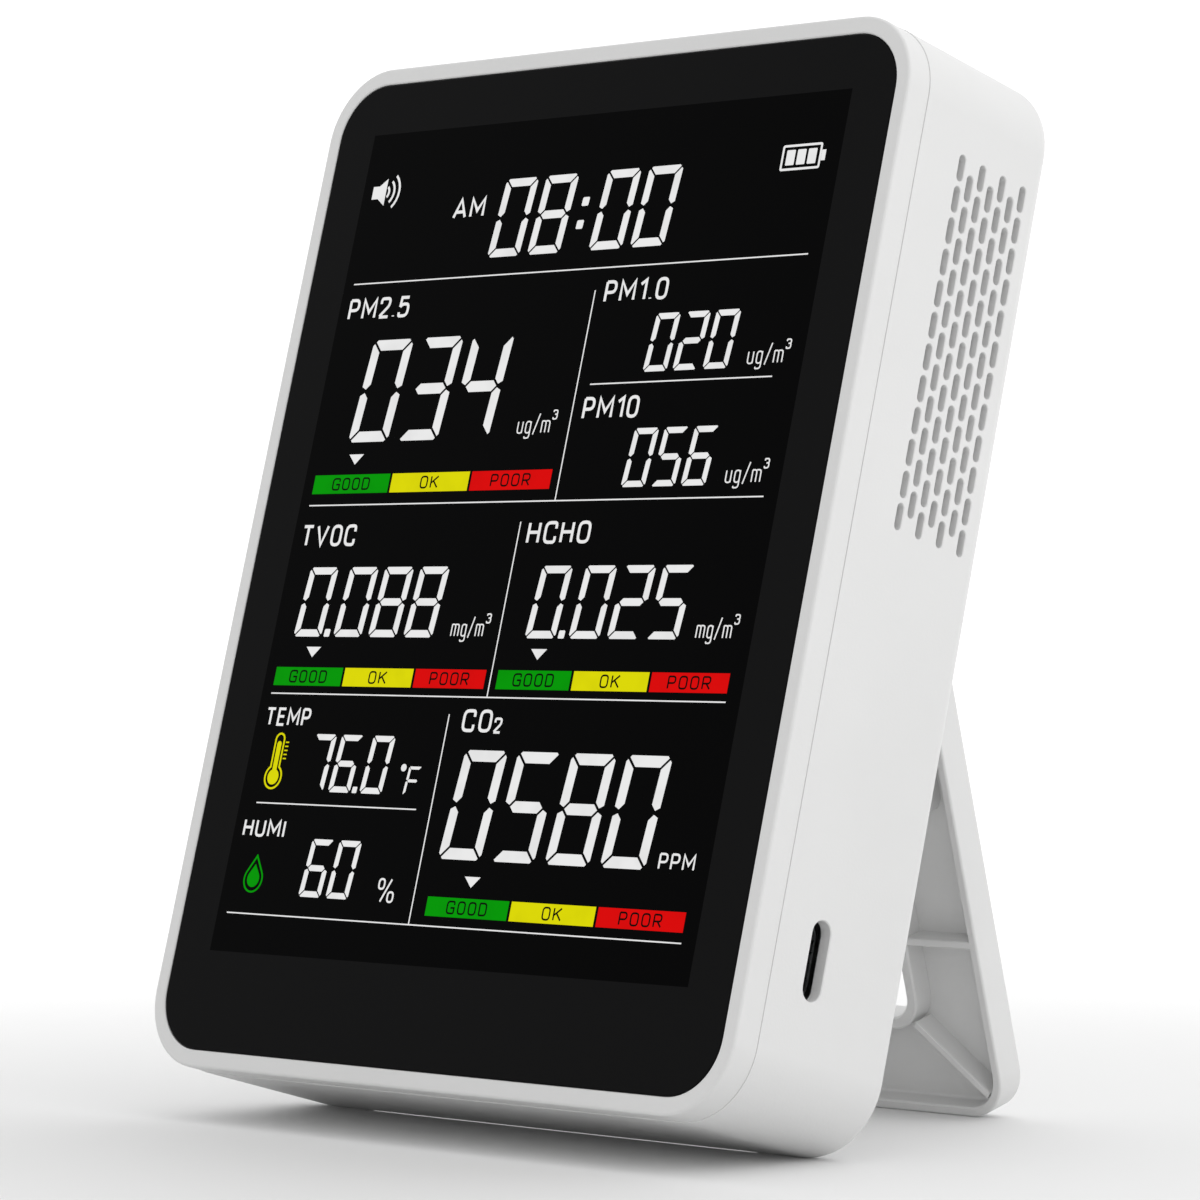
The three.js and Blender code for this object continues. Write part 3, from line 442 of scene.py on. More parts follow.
def surface(
    name, dark, light, tone_scale, roughness, rough_scale, grain_scale, grain_mm, metallic=0.0, specular=0.5
):
    """A solid material with uneven tone, uneven gloss and a fine grain."""
    material, tree, shader = new_material(name)
    tone = spread(tree, noise(tree, tone_scale), 0, 1)
    join(tree, blend_colors(tree, tone, dark, light), shader, "Base Color")
    gloss = spread(tree, noise(tree, rough_scale), *roughness)
    join(tree, gloss, shader, "Roughness")
    bump(tree, shader, noise(tree, grain_scale, detail=2), grain_mm)
    set_inputs(shader, {"Metallic": metallic, "Specular IOR Level": specular})
    return material


def white_plastic():
    """Satin moulded ABS with the fine even texture of a spark-eroded mould."""
    return surface(
        "white_plastic", (0.70, 0.70, 0.697), (0.73, 0.73, 0.727), 30,
        (0.42, 0.52), 220, 2600, 0.012,
    )


def window_mask(tree):
    """1 on the glass in front of the display's cell and 0 on its printed border."""
    into_case = CASE.inverted()
    turn = {"Location": into_case.to_translation(), "Rotation": into_case.to_euler()}
    upright = node(tree, "Mapping", turn, vector_type="POINT")
    axes = node(tree, "SeparateXYZ")
    join(tree, own_place(tree), upright, "Vector")
    join(tree, upright.outputs["Vector"], axes, "Vector")
    mask = None
    middle = (WINDOW_TOP + WINDOW_BOTTOM) / 2 * MM
    half_height = (WINDOW_TOP - WINDOW_BOTTOM) / 2 * MM
    for axis, centre, half in (("X", 0, WINDOW_HALF_WIDTH * MM), ("Z", middle, half_height)):
        within = node(tree, "Math", {1: centre, 2: half}, operation="COMPARE")
        join(tree, axes.outputs[axis], within, 0)
        if mask is None:
            mask = within.outputs[0]
            continue
        both = node(tree, "Math", operation="MULTIPLY")
        join(tree, mask, both, 0)
        join(tree, within.outputs[0], both, 1)
        mask = both.outputs[0]
    return mask


def cover_glass():
    """Polished glass, printed black round the edge, with the darker cell showing in the window."""
    material, tree, shader = new_material("cover_glass")
    color = blend_colors(tree, window_mask(tree), (0.0072, 0.0072, 0.0074), (0.0008, 0.0008, 0.0009))
    join(tree, color, shader, "Base Color")
    join(tree, spread(tree, noise(tree, 40), 0.07, 0.13), shader, "Roughness")
    set_inputs(shader, {"Specular IOR Level": 0.025})
    bump(tree, shader, noise(tree, 18, detail=1), 0.01)
    return material


def lit_segments(name, color, strength):
    """A lit area of the display. Its backlight is a little uneven."""
    material, tree, shader = new_material(name)
    uneven = spread(tree, noise(tree, 260, detail=2), 0.93, 1.05)
    glow = blend_colors(tree, uneven, (0, 0, 0), color)
    join(tree, glow, shader, "Emission Color")
    set_inputs(shader, {
        "Emission Strength": strength, "Base Color": (0, 0, 0, 1),
        "Roughness": 0.3, "Specular IOR Level": 0.02,
    })
    return material


def display_ink():
    return surface(
        "display_ink", (0.001, 0.001, 0.001), (0.003, 0.003, 0.003), 300,
        (0.4, 0.5), 300, 900, 0.001, specular=0.02,
    )


def grey_print():
    return surface("grey_print", (0.20, 0.20, 0.205), (0.26, 0.26, 0.265), 400, (0.5, 0.6), 500, 3000, 0.004)


def bright_steel():
    return surface(
        "bright_steel", (0.50, 0.51, 0.53), (0.66, 0.67, 0.68), 900,
        (0.22, 0.38), 1500, 4000, 0.004, metallic=1.0,
    )


def black_plastic():
    return surface(
        "black_plastic", (0.012, 0.012, 0.013), (0.022, 0.022, 0.024), 200,
        (0.45, 0.6), 400, 3000, 0.01,
    )


def pale_felt():
    """Non-woven mesh behind the vents: fine crossed fibres."""
    return surface("pale_felt", (0.55, 0.55, 0.55), (0.80, 0.80, 0.80), 1800, (0.85, 0.95), 900, 2400, 0.08)


def circuit_board():
    """Green solder resist over copper: square fields and thin traces show through as paler green."""
    material, tree, shader = new_material("circuit_board")
    traces = node(tree, "TexBrick", {
        "Color1": (0.012, 0.105, 0.042, 1), "Color2": (0.016, 0.130, 0.050, 1),
        "Mortar": (0.030, 0.200, 0.085, 1), "Scale": 160, "Mortar Size": 0.03,
    }, offset=0.3, squash=1.6)
    turned = node(tree, "Mapping", {"Rotation": (math.pi / 2, 0, 0)})
    join(tree, own_place(tree), turned, "Vector")
    join(tree, turned.outputs["Vector"], traces, "Vector")
    join(tree, traces.outputs["Color"], shader, "Base Color")
    join(tree, spread(tree, noise(tree, 500), 0.25, 0.4), shader, "Roughness")
    bump(tree, shader, traces.outputs["Fac"], 0.03, 0.5)
    return material


# What each record slot looks like on the CAD nodes that stay: (dark, light, tone scale, roughness, metal).
INNER_LOOKS = {
    "foam_black": ((0.01, 0.01, 0.01), (0.03, 0.03, 0.03), 1500, (0.8, 0.95), 0),
    "lcd_cell": ((0.008, 0.008, 0.01), (0.014, 0.014, 0.017), 120, (0.15, 0.25), 0),
    "light_film": ((0.78, 0.8, 0.8), (0.88, 0.89, 0.89), 90, (0.3, 0.42), 0),
    "flex_amber": ((0.34, 0.15, 0.03), (0.46, 0.22, 0.05), 500, (0.25, 0.4), 0),
    "connector_ivory": ((0.66, 0.62, 0.5), (0.74, 0.71, 0.6), 400, (0.4, 0.55), 0),
    "sensor_gold": ((0.58, 0.4, 0.14), (0.74, 0.55, 0.24), 300, (0.25, 0.4), 1),
    "sensor_blue": ((0.016, 0.05, 0.2), (0.026, 0.075, 0.28), 200, (0.4, 0.55), 0),
    "battery_blue": ((0.03, 0.1, 0.3), (0.05, 0.14, 0.4), 60, (0.2, 0.35), 0),
    "lead_red": ((0.36, 0.012, 0.012), (0.5, 0.025, 0.025), 700, (0.45, 0.6), 0),
}


def inner_material(slot):
    dark, light, tone_scale, roughness, metal = INNER_LOOKS[slot]
    return surface(slot, dark, light, tone_scale, roughness, 300, 2200, 0.01, metallic=metal)


WHITE = white_plastic()
STEEL = bright_steel()
BLACK = black_plastic()
INK = display_ink()
PRINT = grey_print()
LIT_WHITE = lit_segments("lit_white", (1.0, 1.0, 1.0), 0.82)
LIT_GREEN = lit_segments("lit_green", (0.001, 0.56, 0.002), 0.54)
LIT_YELLOW = lit_segments("lit_yellow", (1.0, 0.96, 0.001), 0.71)
LIT_RED = lit_segments("lit_red", (1.0, 0.003, 0.003), 0.69)


# ---------- Front frame and glass ----------

def front_frame():
    """The bezel with its rounded front edge, the tongue and posts behind it, and the glass's seat."""
    root_y = PARTING_Y - CUT
    rounded = fillet(FRAME_STEP + FRONT_FILLET, FRONT_FILLET, FRONT_FILLET, 2, 3)
    side = [(FRAME_STEP, PARTING_Y - SEAM_EDGE), (FRAME_STEP + SEAM_EDGE, PARTING_Y)]
    band = solid(rect(HALF_WIDTH, HALF_HEIGHT, CORNER_RADIUS), [*reversed(rounded), *side], steps=14)
    tongue_box = rect(HALF_WIDTH - WALL - CLEARANCE, HALF_HEIGHT - WALL - CLEARANCE, CORNER_RADIUS - WALL)
    tongue = solid(tongue_box, [
        (0, root_y), (0, TONGUE_BACK_Y - CHAMFER), (CHAMFER, TONGUE_BACK_Y),
        (TONGUE_THICKNESS, TONGUE_BACK_Y), (TONGUE_THICKNESS, root_y),
    ], ring=True)
    post = [(0, root_y), (0, POST_BACK_Y - CHAMFER), (CHAMFER, POST_BACK_Y)]
    pilot = [(0, PARTING_Y + 0.5), (0, PILOT_BACK_Y)]
    seat_box = rect(GLASS_WIDTH / 2 + CLEARANCE, GLASS_HEIGHT / 2 + CLEARANCE, GLASS_CORNER + CLEARANCE)
    seat = solid(seat_box, [(-EDGE - CUT, -CUT), (-EDGE, 0), (0, EDGE), (0, LEDGE_Y)], steps=14)
    opening = solid(LCD_OPENING, [(0, -CUT), (0, PARTING_Y + CUT)], steps=4)
    shape = combine(band, [
        ("UNION", tongue),
        ("UNION", at_screws(POST_RADIUS, post)),
        ("DIFFERENCE", seat),
        ("DIFFERENCE", opening),
        ("DIFFERENCE", at_screws(PILOT_RADIUS, pilot)),
    ])
    piece("front_frame_moulding", shape, CASE, "case", WHITE, ["front_frame"])


def front_glass():
    box = rect(GLASS_WIDTH / 2, GLASS_HEIGHT / 2, GLASS_CORNER)
    edge = 0.2
    front = fillet(edge, GLASS_FRONT_Y + edge, edge, 2, 3, 4)
    shape = solid(box, [*reversed(front), (0, GLASS_BACK_Y - 0.1), (0.1, GLASS_BACK_Y)], steps=14)
    piece("front_glass_pane", shape, CASE, "case", cover_glass(), ["front_glass"])


# ---------- Rear housing ----------

def housing_shell():
    outer = rect(HALF_WIDTH, HALF_HEIGHT, CORNER_RADIUS)
    inner_fillet = 1.2
    front_y = PARTING_Y + PARTING_GAP
    inside = fillet(WALL + inner_fillet, INNER_BACK_Y - inner_fillet, inner_fillet, 1, 2)
    outside = fillet(REAR_FILLET, CASE_DEPTH - REAR_FILLET, REAR_FILLET, 2, 1, 8)
    profile = [*inside, (WALL, front_y), (SEAM_EDGE, front_y), (0, front_y + SEAM_EDGE), *outside]
    return solid(outer, profile, steps=14)


def stand_tub():
    """The walls round the stand's recess and its heel pocket, seen from inside the case."""
    width = RECESS_HALF_WIDTH + WALL
    top = RECESS_TOP_Z + WALL
    back_y = INNER_BACK_Y + WALL / 2
    low = HEEL_POCKET_BOTTOM_Z - WALL
    shallow = block(-width, width, RECESS_FLOOR_Y - WALL, back_y, WALL / 2 - HALF_HEIGHT, top)
    deep = block(-width, width, HEEL_POCKET_Y - WALL, back_y, low, top)
    return [("UNION", shallow), ("UNION", deep)]


def recess_cut(floor_y, bottom):
    """A pocket from the back with a filleted floor and a softened mouth."""
    soft = 0.3
    floor = fillet(soft, floor_y + soft, soft, 3, 2, 3)
    box = (-RECESS_HALF_WIDTH, RECESS_HALF_WIDTH, bottom, RECESS_TOP_Z, 1, 1)
    return solid(box, [*floor, *mouth(CASE_DEPTH)], steps=4)


def hinge_lug(side):
    """A barrel round the pin's outer end, standing on a block on the housing's back."""
    x0 = min(side * RECESS_HALF_WIDTH, side * LUG_OUTER_X)
    x1 = x0 + LUG_THICKNESS
    soft = 0.35
    profile = [(soft, x0), (0, x0 + soft), (0, x1 - soft), (soft, x1)]
    barrel = solid(disc(HINGE_Y, HINGE_Z, LUG_RADIUS), profile, "side")
    base = block(
        x0 + soft, x1 - soft, CASE_DEPTH - WALL / 2, HINGE_Y, HINGE_Z - LUG_RADIUS, HINGE_Z + LUG_RADIUS
    )
    return [("UNION", barrel), ("UNION", base)]


def screw_bosses():
    profile = [(CHAMFER, BOSS_FRONT_Y), (0, BOSS_FRONT_Y + CHAMFER), (0, INNER_BACK_Y + WALL / 2)]
    return at_screws(BOSS_RADIUS, profile)


def screw_bores():
    """Each head's bore with its softened mouth, and the shank's narrower hole beyond the seat."""
    step = BORE_RADIUS - SHANK_HOLE_RADIUS
    seat_y = SCREW_SEAT_Y - CLEARANCE
    hole = [(step, BOSS_FRONT_Y - CUT), (step, seat_y), (0, seat_y)]
    return at_screws(BORE_RADIUS, [*hole, *mouth(CASE_DEPTH)])


def button_x(index):
    return (index - (len(BUTTON_NAMES) - 1) / 2) * BUTTON_SPACING


def button_hole(index):
    profile = [(0, HALF_HEIGHT - WALL - CUT), *mouth(HALF_HEIGHT)]
    return solid(disc(button_x(index), BUTTON_Y, BUTTON_RADIUS + CLEARANCE), profile, "top")


def side_levels(side, flare):
    """A cutter's profile through a side wall, with a softened mouth on the outside."""
    inner = side * (HALF_WIDTH - WALL - CUT)
    face = side * HALF_WIDTH
    return [(0, inner), (0, face - side * flare), (-flare, face), (-flare, face + side * CUT)]


def vent_slots(side):
    slots = []
    half_width = VENT_WIDTH / 2
    half_length = VENT_LENGTH / 2
    for column in range(VENT_COLUMNS):
        staggered = column % 2
        y = VENT_FIRST_Y + column * VENT_COLUMN_PITCH
        for row in range(VENT_ROWS - staggered):
            z = VENT_TOP_Z - (row + staggered / 2) * VENT_ROW_PITCH
            box = (y - half_width, y + half_width, z - half_length, z + half_length, half_width, half_width)
            slots.append(solid(box, side_levels(side, 0.1), "side", steps=4))
    return merged(slots)


def usb_slot():
    half_width = USB_WIDTH / 2
    half_height = USB_HEIGHT / 2
    box = (
        USB_Y - half_width, USB_Y + half_width, USB_Z - half_height, USB_Z + half_height,
        half_width, half_width,
    )
    return solid(box, side_levels(1, 0.12), "side")


def key_posts():
    """The posts under the top wall that the button board is screwed to."""
    profile = [(0, KEY_POST_BOTTOM_Z), (0, HALF_HEIGHT - WALL / 2)]
    discs = [disc(side * KEY_POST_X, BUTTON_Y, KEY_POST_RADIUS) for side in (-1, 1)]
    return merged([solid(box, profile, "top") for box in discs])


def pin_hole(y, z, x0, x1):
    """The hinge pin's hole along X, between two places on it."""
    return solid(disc(y, z, HINGE_PIN_RADIUS + PIN_CLEARANCE), [(0, x0), (0, x1)], "side", steps=5)


def rear_housing():
    reach = LUG_OUTER_X + PIN_CLEARANCE
    steps = [
        *stand_tub(),
        ("UNION", screw_bosses()),
        ("UNION", key_posts()),
        *hinge_lug(-1),
        *hinge_lug(1),
        ("DIFFERENCE", recess_cut(RECESS_FLOOR_Y, -HALF_HEIGHT - 5)),
        ("DIFFERENCE", recess_cut(HEEL_POCKET_Y, HEEL_POCKET_BOTTOM_Z)),
        ("DIFFERENCE", screw_bores()),
        ("DIFFERENCE", merged([button_hole(i) for i in range(len(BUTTON_NAMES))])),
        ("DIFFERENCE", vent_slots(-1)),
        ("DIFFERENCE", vent_slots(1)),
        ("DIFFERENCE", usb_slot()),
        ("DIFFERENCE", pin_hole(HINGE_Y, HINGE_Z, -reach, reach)),
    ]
    shape = combine(housing_shell(), steps)
    piece("rear_housing_moulding", shape, CASE, "case", WHITE, ["rear_housing"])


# ---------- Buttons, screws and hinge pins ----------

def symbol(name, x, y, level):
    """A plain printed sign for a button, as flat prisms on its cap: power, menu, down or up."""
    top = level + 0.03
    base = level - 0.05
    size = 1.3
    half_line = 0.18
    if name == "power":
        points = arc_points(x, y, size, 1.35, 4.65, 20) + arc_points(x, y, size - 0.35, 4.65, 1.35, 20)
        outlines = [points, rectangle(x - half_line, x + half_line, y + 0.3, y + size + 0.2)]
    elif name == "menu":
        outlines = [
            rounded_rect(x - size, x + size, row - half_line, row + half_line, 0.15, steps=3)
            for row in (y - 0.8, y, y + 0.8)
        ]
    else:
        tip = size if name == "up" else -size
        outlines = [[(x - size, y - tip / 2), (x + size, y - tip / 2), (x, y + tip)]]
    return merged([loft([(points, base), (points, top)], "top") for points in outlines])


def button(index, name):
    """A cap in its hole, with the flange that keeps it in and the stem that meets its switch."""
    x = button_x(index)
    top = HALF_HEIGHT + BUTTON_PROUD
    flange_top = HALF_HEIGHT - WALL - FLANGE_GAP
    flange_bottom = flange_top - FLANGE_THICKNESS
    stem = BUTTON_RADIUS - STEM_RADIUS
    below = [
        (stem, STEM_BOTTOM_Z), (stem, flange_bottom), (-FLANGE_WIDTH, flange_bottom),
        (-FLANGE_WIDTH, flange_top), (0, flange_top),
    ]
    rounded = fillet(BUTTON_FILLET, top - BUTTON_FILLET, BUTTON_FILLET, 2, 1, 5)
    cap = solid(disc(x, BUTTON_Y, BUTTON_RADIUS), [*below, *rounded], "top", steps=12)
    body = f"key_{name}"
    piece(f"button_{name}_cap", cap, CASE, body, WHITE, [f"button_{name}"])
    piece(f"button_{name}_sign", symbol(name, x, BUTTON_Y, top), CASE, body, PRINT)


def housing_screw(index, place):
    """A pan head with a cross recess on a plain shank."""
    x, z = place
    head_top = SCREW_SEAT_Y + SCREW_HEAD_HEIGHT
    rounded = fillet(SCREW_HEAD_FILLET, head_top - SCREW_HEAD_FILLET, SCREW_HEAD_FILLET, 2, 1, 5)
    shank = SCREW_HEAD_RADIUS - SCREW_SHANK_RADIUS
    profile = [(shank, SCREW_TIP_Y), (shank, SCREW_SEAT_Y), (0, SCREW_SEAT_Y), *rounded]
    body = solid(disc(x, z, SCREW_HEAD_RADIUS), profile)
    length = 1.25
    thickness = 0.28
    arms = [
        block(x - a, x + a, head_top - 1, head_top + CUT, z - b, z + b)
        for a, b in ((length, thickness), (thickness, length))
    ]
    shape = combine(body, [("DIFFERENCE", arm) for arm in arms])
    piece(f"housing_screw_{index}_turned", shape, CASE, "case", STEEL, [f"housing_screw_{index}"])


def hinge_pin(side, name):
    x0 = side * (STAND_HALF_WIDTH - PIN_DEPTH)
    x1 = side * (LUG_OUTER_X - 0.2)
    edge = 0.2
    profile = [(edge, x0), (0, x0 + side * edge), (0, x1 - side * edge), (edge, x1)]
    shape = solid(disc(HINGE_Y, HINGE_Z, HINGE_PIN_RADIUS), profile, "side", steps=6)
    piece(f"hinge_pin_{name}_turned", shape, CASE, "case", STEEL, [f"hinge_pin_{name}"])


# ---------- Kickstand ----------

def stand_rib(start, end):
    """A straight rib from the rim plane down into the skin."""
    (xa, za), (xb, zb) = start, end
    half_length = math.hypot(xb - xa, zb - za) / 2
    box = (-half_length, half_length, -RIB_THICKNESS / 2, RIB_THICKNESS / 2, 0.05, 0.05)
    soft = 0.14
    profile = [(soft, STAND_FRONT_Y), (0, STAND_FRONT_Y + soft), (0, RIB_BACK_Y)]
    turn = Matrix.Rotation(-math.atan2(zb - za, xb - xa), 4, "Y")
    place = Matrix.Translation(((xa + xb) / 2, 0, (za + zb) / 2))
    return moved(solid(box, profile, steps=1), place @ turn)


def stand_slab():
    rim_fillet = 0.35
    skin_fillet = 0.5
    rim = fillet(rim_fillet, STAND_FRONT_Y + rim_fillet, rim_fillet, 3, 2, 4)
    skin = fillet(skin_fillet, STAND_BACK_Y - skin_fillet, skin_fillet, 2, 1, 6)
    box = (-STAND_HALF_WIDTH, STAND_HALF_WIDTH, -STAND_LENGTH, STAND_HEEL, 1, STAND_CORNER)
    return solid(box, [*rim, *skin], steps=12)


def stand_pocket():
    """The hollow on the stand's front side, with a filleted floor and rounded rim."""
    half_width = STAND_HALF_WIDTH - STAND_RIM
    corner = STAND_CORNER - STAND_RIM
    box = (-half_width, half_width, -STAND_LENGTH + STAND_RIM, -HINGE_BAR_DEPTH, 0.6, corner)
    soft = 0.2
    opening = [(-soft, STAND_FRONT_Y - CUT), (-soft, STAND_FRONT_Y), (0, STAND_FRONT_Y + soft)]
    floor_fillet = 0.4
    floor = fillet(floor_fillet, STAND_FLOOR_Y - floor_fillet, floor_fillet, 2, 1, 4)
    return solid(box, [*opening, *floor], steps=10)


def stand_ribs():
    """The middle rib, and on each side a level rib and one that runs to the lower corner."""
    inner_x = STAND_HALF_WIDTH - STAND_RIM
    window_x, window_bottom, window_top = STAND_WINDOW[1:4]
    wall_x = window_x + STAND_WINDOW_WALL - 0.5
    wall_bottom = window_bottom - STAND_WINDOW_WALL + 1
    ribs = [stand_rib((0, STAND_UPPER_BOX[2] + 0.5), (0, window_top + 0.5))]
    for side in (-1, 1):
        ribs.append(stand_rib((side * wall_x, CROSS_RIB_Z), (side * (inner_x + 0.5), CROSS_RIB_Z)))
        corner = (side * (inner_x - 1.2), 3.2 - STAND_LENGTH)
        ribs.append(stand_rib((side * (wall_x - 0.5), wall_bottom), corner))
    return [("UNION", rib) for rib in ribs]


def kickstand():
    soft = 0.25
    front_soft = STAND_FRONT_Y + soft
    back_soft = STAND_BACK_Y - soft
    window_wall = solid(STAND_WINDOW, [
        (soft - STAND_WINDOW_WALL, STAND_FRONT_Y), (-STAND_WINDOW_WALL, front_soft),
        (-STAND_WINDOW_WALL, RIB_BACK_Y),
    ])
    upper_wall = solid(STAND_UPPER_BOX, [
        (0, RIB_BACK_Y), (0, front_soft), (soft, STAND_FRONT_Y),
        (STAND_UPPER_WALL - soft, STAND_FRONT_Y), (STAND_UPPER_WALL, front_soft),
        (STAND_UPPER_WALL, RIB_BACK_Y),
    ], ring=True)
    through = solid(STAND_WINDOW, [
        (-soft, STAND_FRONT_Y - CUT), (-soft, STAND_FRONT_Y), (0, front_soft),
        (0, back_soft), (-soft, STAND_BACK_Y), (-soft, STAND_BACK_Y + CUT),
    ])
    hole_end = STAND_HALF_WIDTH - PIN_DEPTH - 0.3
    side_face = STAND_HALF_WIDTH + CUT
    pin_holes = merged([pin_hole(0, 0, side * hole_end, side * side_face) for side in (-1, 1)])
    shape = combine(stand_slab(), [
        ("DIFFERENCE", stand_pocket()),
        ("UNION", window_wall),
        ("UNION", upper_wall),
        *stand_ribs(),
        ("DIFFERENCE", through),
        ("DIFFERENCE", pin_holes),
    ])
    piece("kickstand_moulding", shape, STAND, "kickstand", WHITE, ["kickstand"])


# ---------- Display: what is lit on the glass ----------

LIT_FRONT_Y = 0.02
LIT_BACK_Y = 0.07
INK_FRONT_Y = 0.005
INK_BACK_Y = 0.03

DISPLAY_LEFT = -41.15
DISPLAY_RIGHT = 40.65

# Which of the seven segments each character lights: a top, b and c right, d bottom, e and f left, g middle.
SEGMENTS = {
    "0": "abcdef", "2": "abdeg", "3": "abcdg", "4": "bcfg", "5": "acdfg",
    "6": "acdefg", "7": "abc", "8": "abcdefg", "F": "aefg",
}

# The gap between letters, as a share of their height.
GLYPH_GAP = 0.27


def sharp(*points):
    return "sharp", points


def curved(*points):
    return "curved", points


def loop(*points):
    return "loop", points


BOX = ((0, 0), (1, 0), (1, 1), (0, 1))
BOWL = ((0, 1), (1, 1), (1, 0.45), (0, 0.45))
STEM = ((0, 0), (0, 1))

# Each letter's width as a share of its height, and its strokes inside a unit square: sharp at the
# corners, curved at the corners, or a curved closed loop.
GLYPHS = {
    "A": (0.56, [sharp((0, 0), (0.5, 1), (1, 0)), sharp((0.17, 0.3), (0.83, 0.3))]),
    "C": (0.44, [curved((1, 0.7), (1, 1), (0, 1), (0, 0), (1, 0), (1, 0.3))]),
    "D": (0.44, [sharp(*STEM), curved((0, 1), (1, 1), (1, 0), (0, 0))]),
    "E": (0.38, [sharp((1, 1), (0, 1), (0, 0), (1, 0)), sharp((0, 0.52), (0.9, 0.52))]),
    "G": (0.46, [curved((1, 0.72), (1, 1), (0, 1), (0, 0), (1, 0), (1, 0.3)),
                 sharp((1, 0.25), (1, 0.47), (0.5, 0.47))]),
    "H": (0.44, [sharp(*STEM), sharp((1, 0), (1, 1)), sharp((0, 0.52), (1, 0.52))]),
    "I": (0.0, [sharp(*STEM)]),
    "K": (0.46, [sharp(*STEM), sharp((1, 1), (0.05, 0.42)), sharp((0.35, 0.6), (1, 0))]),
    "M": (0.60, [sharp(*STEM, (0.5, 0.3), (1, 1), (1, 0))]),
    "O": (0.44, [loop(*BOX)]),
    "P": (0.42, [sharp(*STEM), curved(*BOWL)]),
    "R": (0.44, [sharp(*STEM), curved(*BOWL), sharp((0.5, 0.45), (1, 0))]),
    "T": (0.46, [sharp((0, 1), (1, 1)), sharp((0.5, 1), (0.5, 0))]),
    "U": (0.44, [curved((0, 1), (0, 0), (1, 0), (1, 1))]),
    "V": (0.52, [sharp((0, 1), (0.5, 0), (1, 1))]),
    "g": (0.36, [loop((0, 0), (1, 0), (1, 0.66), (0, 0.66)),
                 curved((1, 0.66), (1, -0.3), (0, -0.3), (0, -0.2))]),
    "m": (0.60, [sharp((0, 0), (0, 0.66)), curved((0, 0.66), (0.5, 0.66), (0.5, 0)),
                 curved((0.5, 0.66), (1, 0.66), (1, 0))]),
    "u": (0.36, [curved((0, 0.66), (0, 0), (1, 0), (1, 0.3)), sharp((1, 0.66), (1, 0))]),
    "0": (0.42, [loop(*BOX)]),
    "1": (0.22, [sharp((0, 0.78), (1, 1), (1, 0))]),
    "2": (0.42, [curved((0, 0.72), (0, 1), (1, 1), (1, 0.62), (0, 0.04)), sharp((0, 0), (1, 0))]),
    "3": (0.42, [curved((0, 0.8), (0, 1), (1, 1), (1, 0.54), (0.4, 0.54)),
                 curved((0.4, 0.54), (1, 0.54), (1, 0), (0, 0), (0, 0.2))]),
    "5": (0.42, [sharp((0.92, 1), (0.1, 1), (0.04, 0.5)),
                 curved((0.04, 0.5), (0.3, 0.64), (1, 0.64), (1, 0), (0, 0), (0, 0.2))]),
    ".": (0.0, [sharp((0, 0), (0, 0.05))]),
    "/": (0.34, [sharp((0, -0.1), (1, 1.1))]),
    "%": (0.85, [loop((0, 0.56), (0.34, 0.56), (0.34, 1), (0, 1)), sharp((0.24, 0), (0.76, 1)),
                 loop((0.66, 0), (1, 0), (1, 0.44), (0.66, 0.44))]),
}

# Each reading: characters, left end, foot, height, pitch.
READINGS = (
    ("08:00", -16.3, 40.8, 10.8, 7.4),
    ("034", -36.1, 15.9, 14.2, 9.5),
    ("020", 16.17, 23.95, 7.7, 5.15),
    ("056", 16.17, 8.8, 7.7, 5.15),
    ("0.088", -39.15, -10.9, 9.5, 6.7),
    ("0.025", 4.3, -10.9, 9.5, 6.7),
    ("76.0", -31.6, -31.8, 7.7, 5.15),
    ("60", -28.12, -45.8, 7.7, 5.2),
    ("0580", -3.6, -39.8, 14.2, 9.5),
    ("F", -12.35, -31.8, 3.8, 2.9),
)

BOLD = 0.42

# Each name or unit: characters, left, right, bottom, top, stroke.
LABELS = (
    ("AM", -24.5, -18.6, 46.6, 49.5, BOLD),
    ("PM2.5", -41.2, -29.4, 33.2, 36.2, BOLD),
    ("PM1.0", 6.8, 17.9, 33.5, 36.5, BOLD),
    ("PM10", 6.9, 16.7, 17.9, 20.9, BOLD),
    ("TVOC", -41.45, -30.95, 1.5, 4.5, BOLD),
    ("HCHO", 1.2, 12.4, 1.5, 4.5, BOLD),
    ("TEMP", -41.3, -32.6, -23.14, -20.64, 0.36),
    ("HUMI", -41.3, -33.2, -38.2, -35.8, 0.36),
    ("CO", -3.95, 1.35, -23.28, -20.28, BOLD),
    ("2", 1.85, 3.25, -23.38, -21.28, 0.32),
    ("PPM", 34.6, 40.6, -39.67, -37.57, 0.28),
    ("%", -13.5, -10.3, -45.9, -42.7, 0.26),
)

# Each concentration unit: characters, left end and foot of the line.
UNITS = (
    ("ug/m", -4.4, 16.3),
    ("ug/m", 33.8, 24.3),
    ("ug/m", 33.8, 9.0),
    ("mg/m", -9.3, -10.75),
    ("mg/m", 33.7, -10.75),
)

# Each rating bar: left, right, bottom, height, and where its pointer stands.
RATING_BARS = (
    (DISPLAY_LEFT, 3.5, 8.8, 2.6, -33.9),
    (DISPLAY_LEFT, -1.4, -17.6, 2.5, -34.7),
    (0.8, DISPLAY_RIGHT, -17.6, 2.5, 7.3),
    (-4.0, DISPLAY_RIGHT, -47.2, 2.5, 3.3),
)

POINTER = 1.4
LINE = 0.17

# The icons: each one's place, and the size of those that have one.
SPEAKER = (-41.2, 51.3)
BATTERY = (33.3, 40.6, 49.5, 52.9)
DEGREE_DOT = (-13.05, -28.2, 0.5)
THERMOMETER = (-37.6, -31.75, 7.7)
DROP = (-37.45, -45.7)

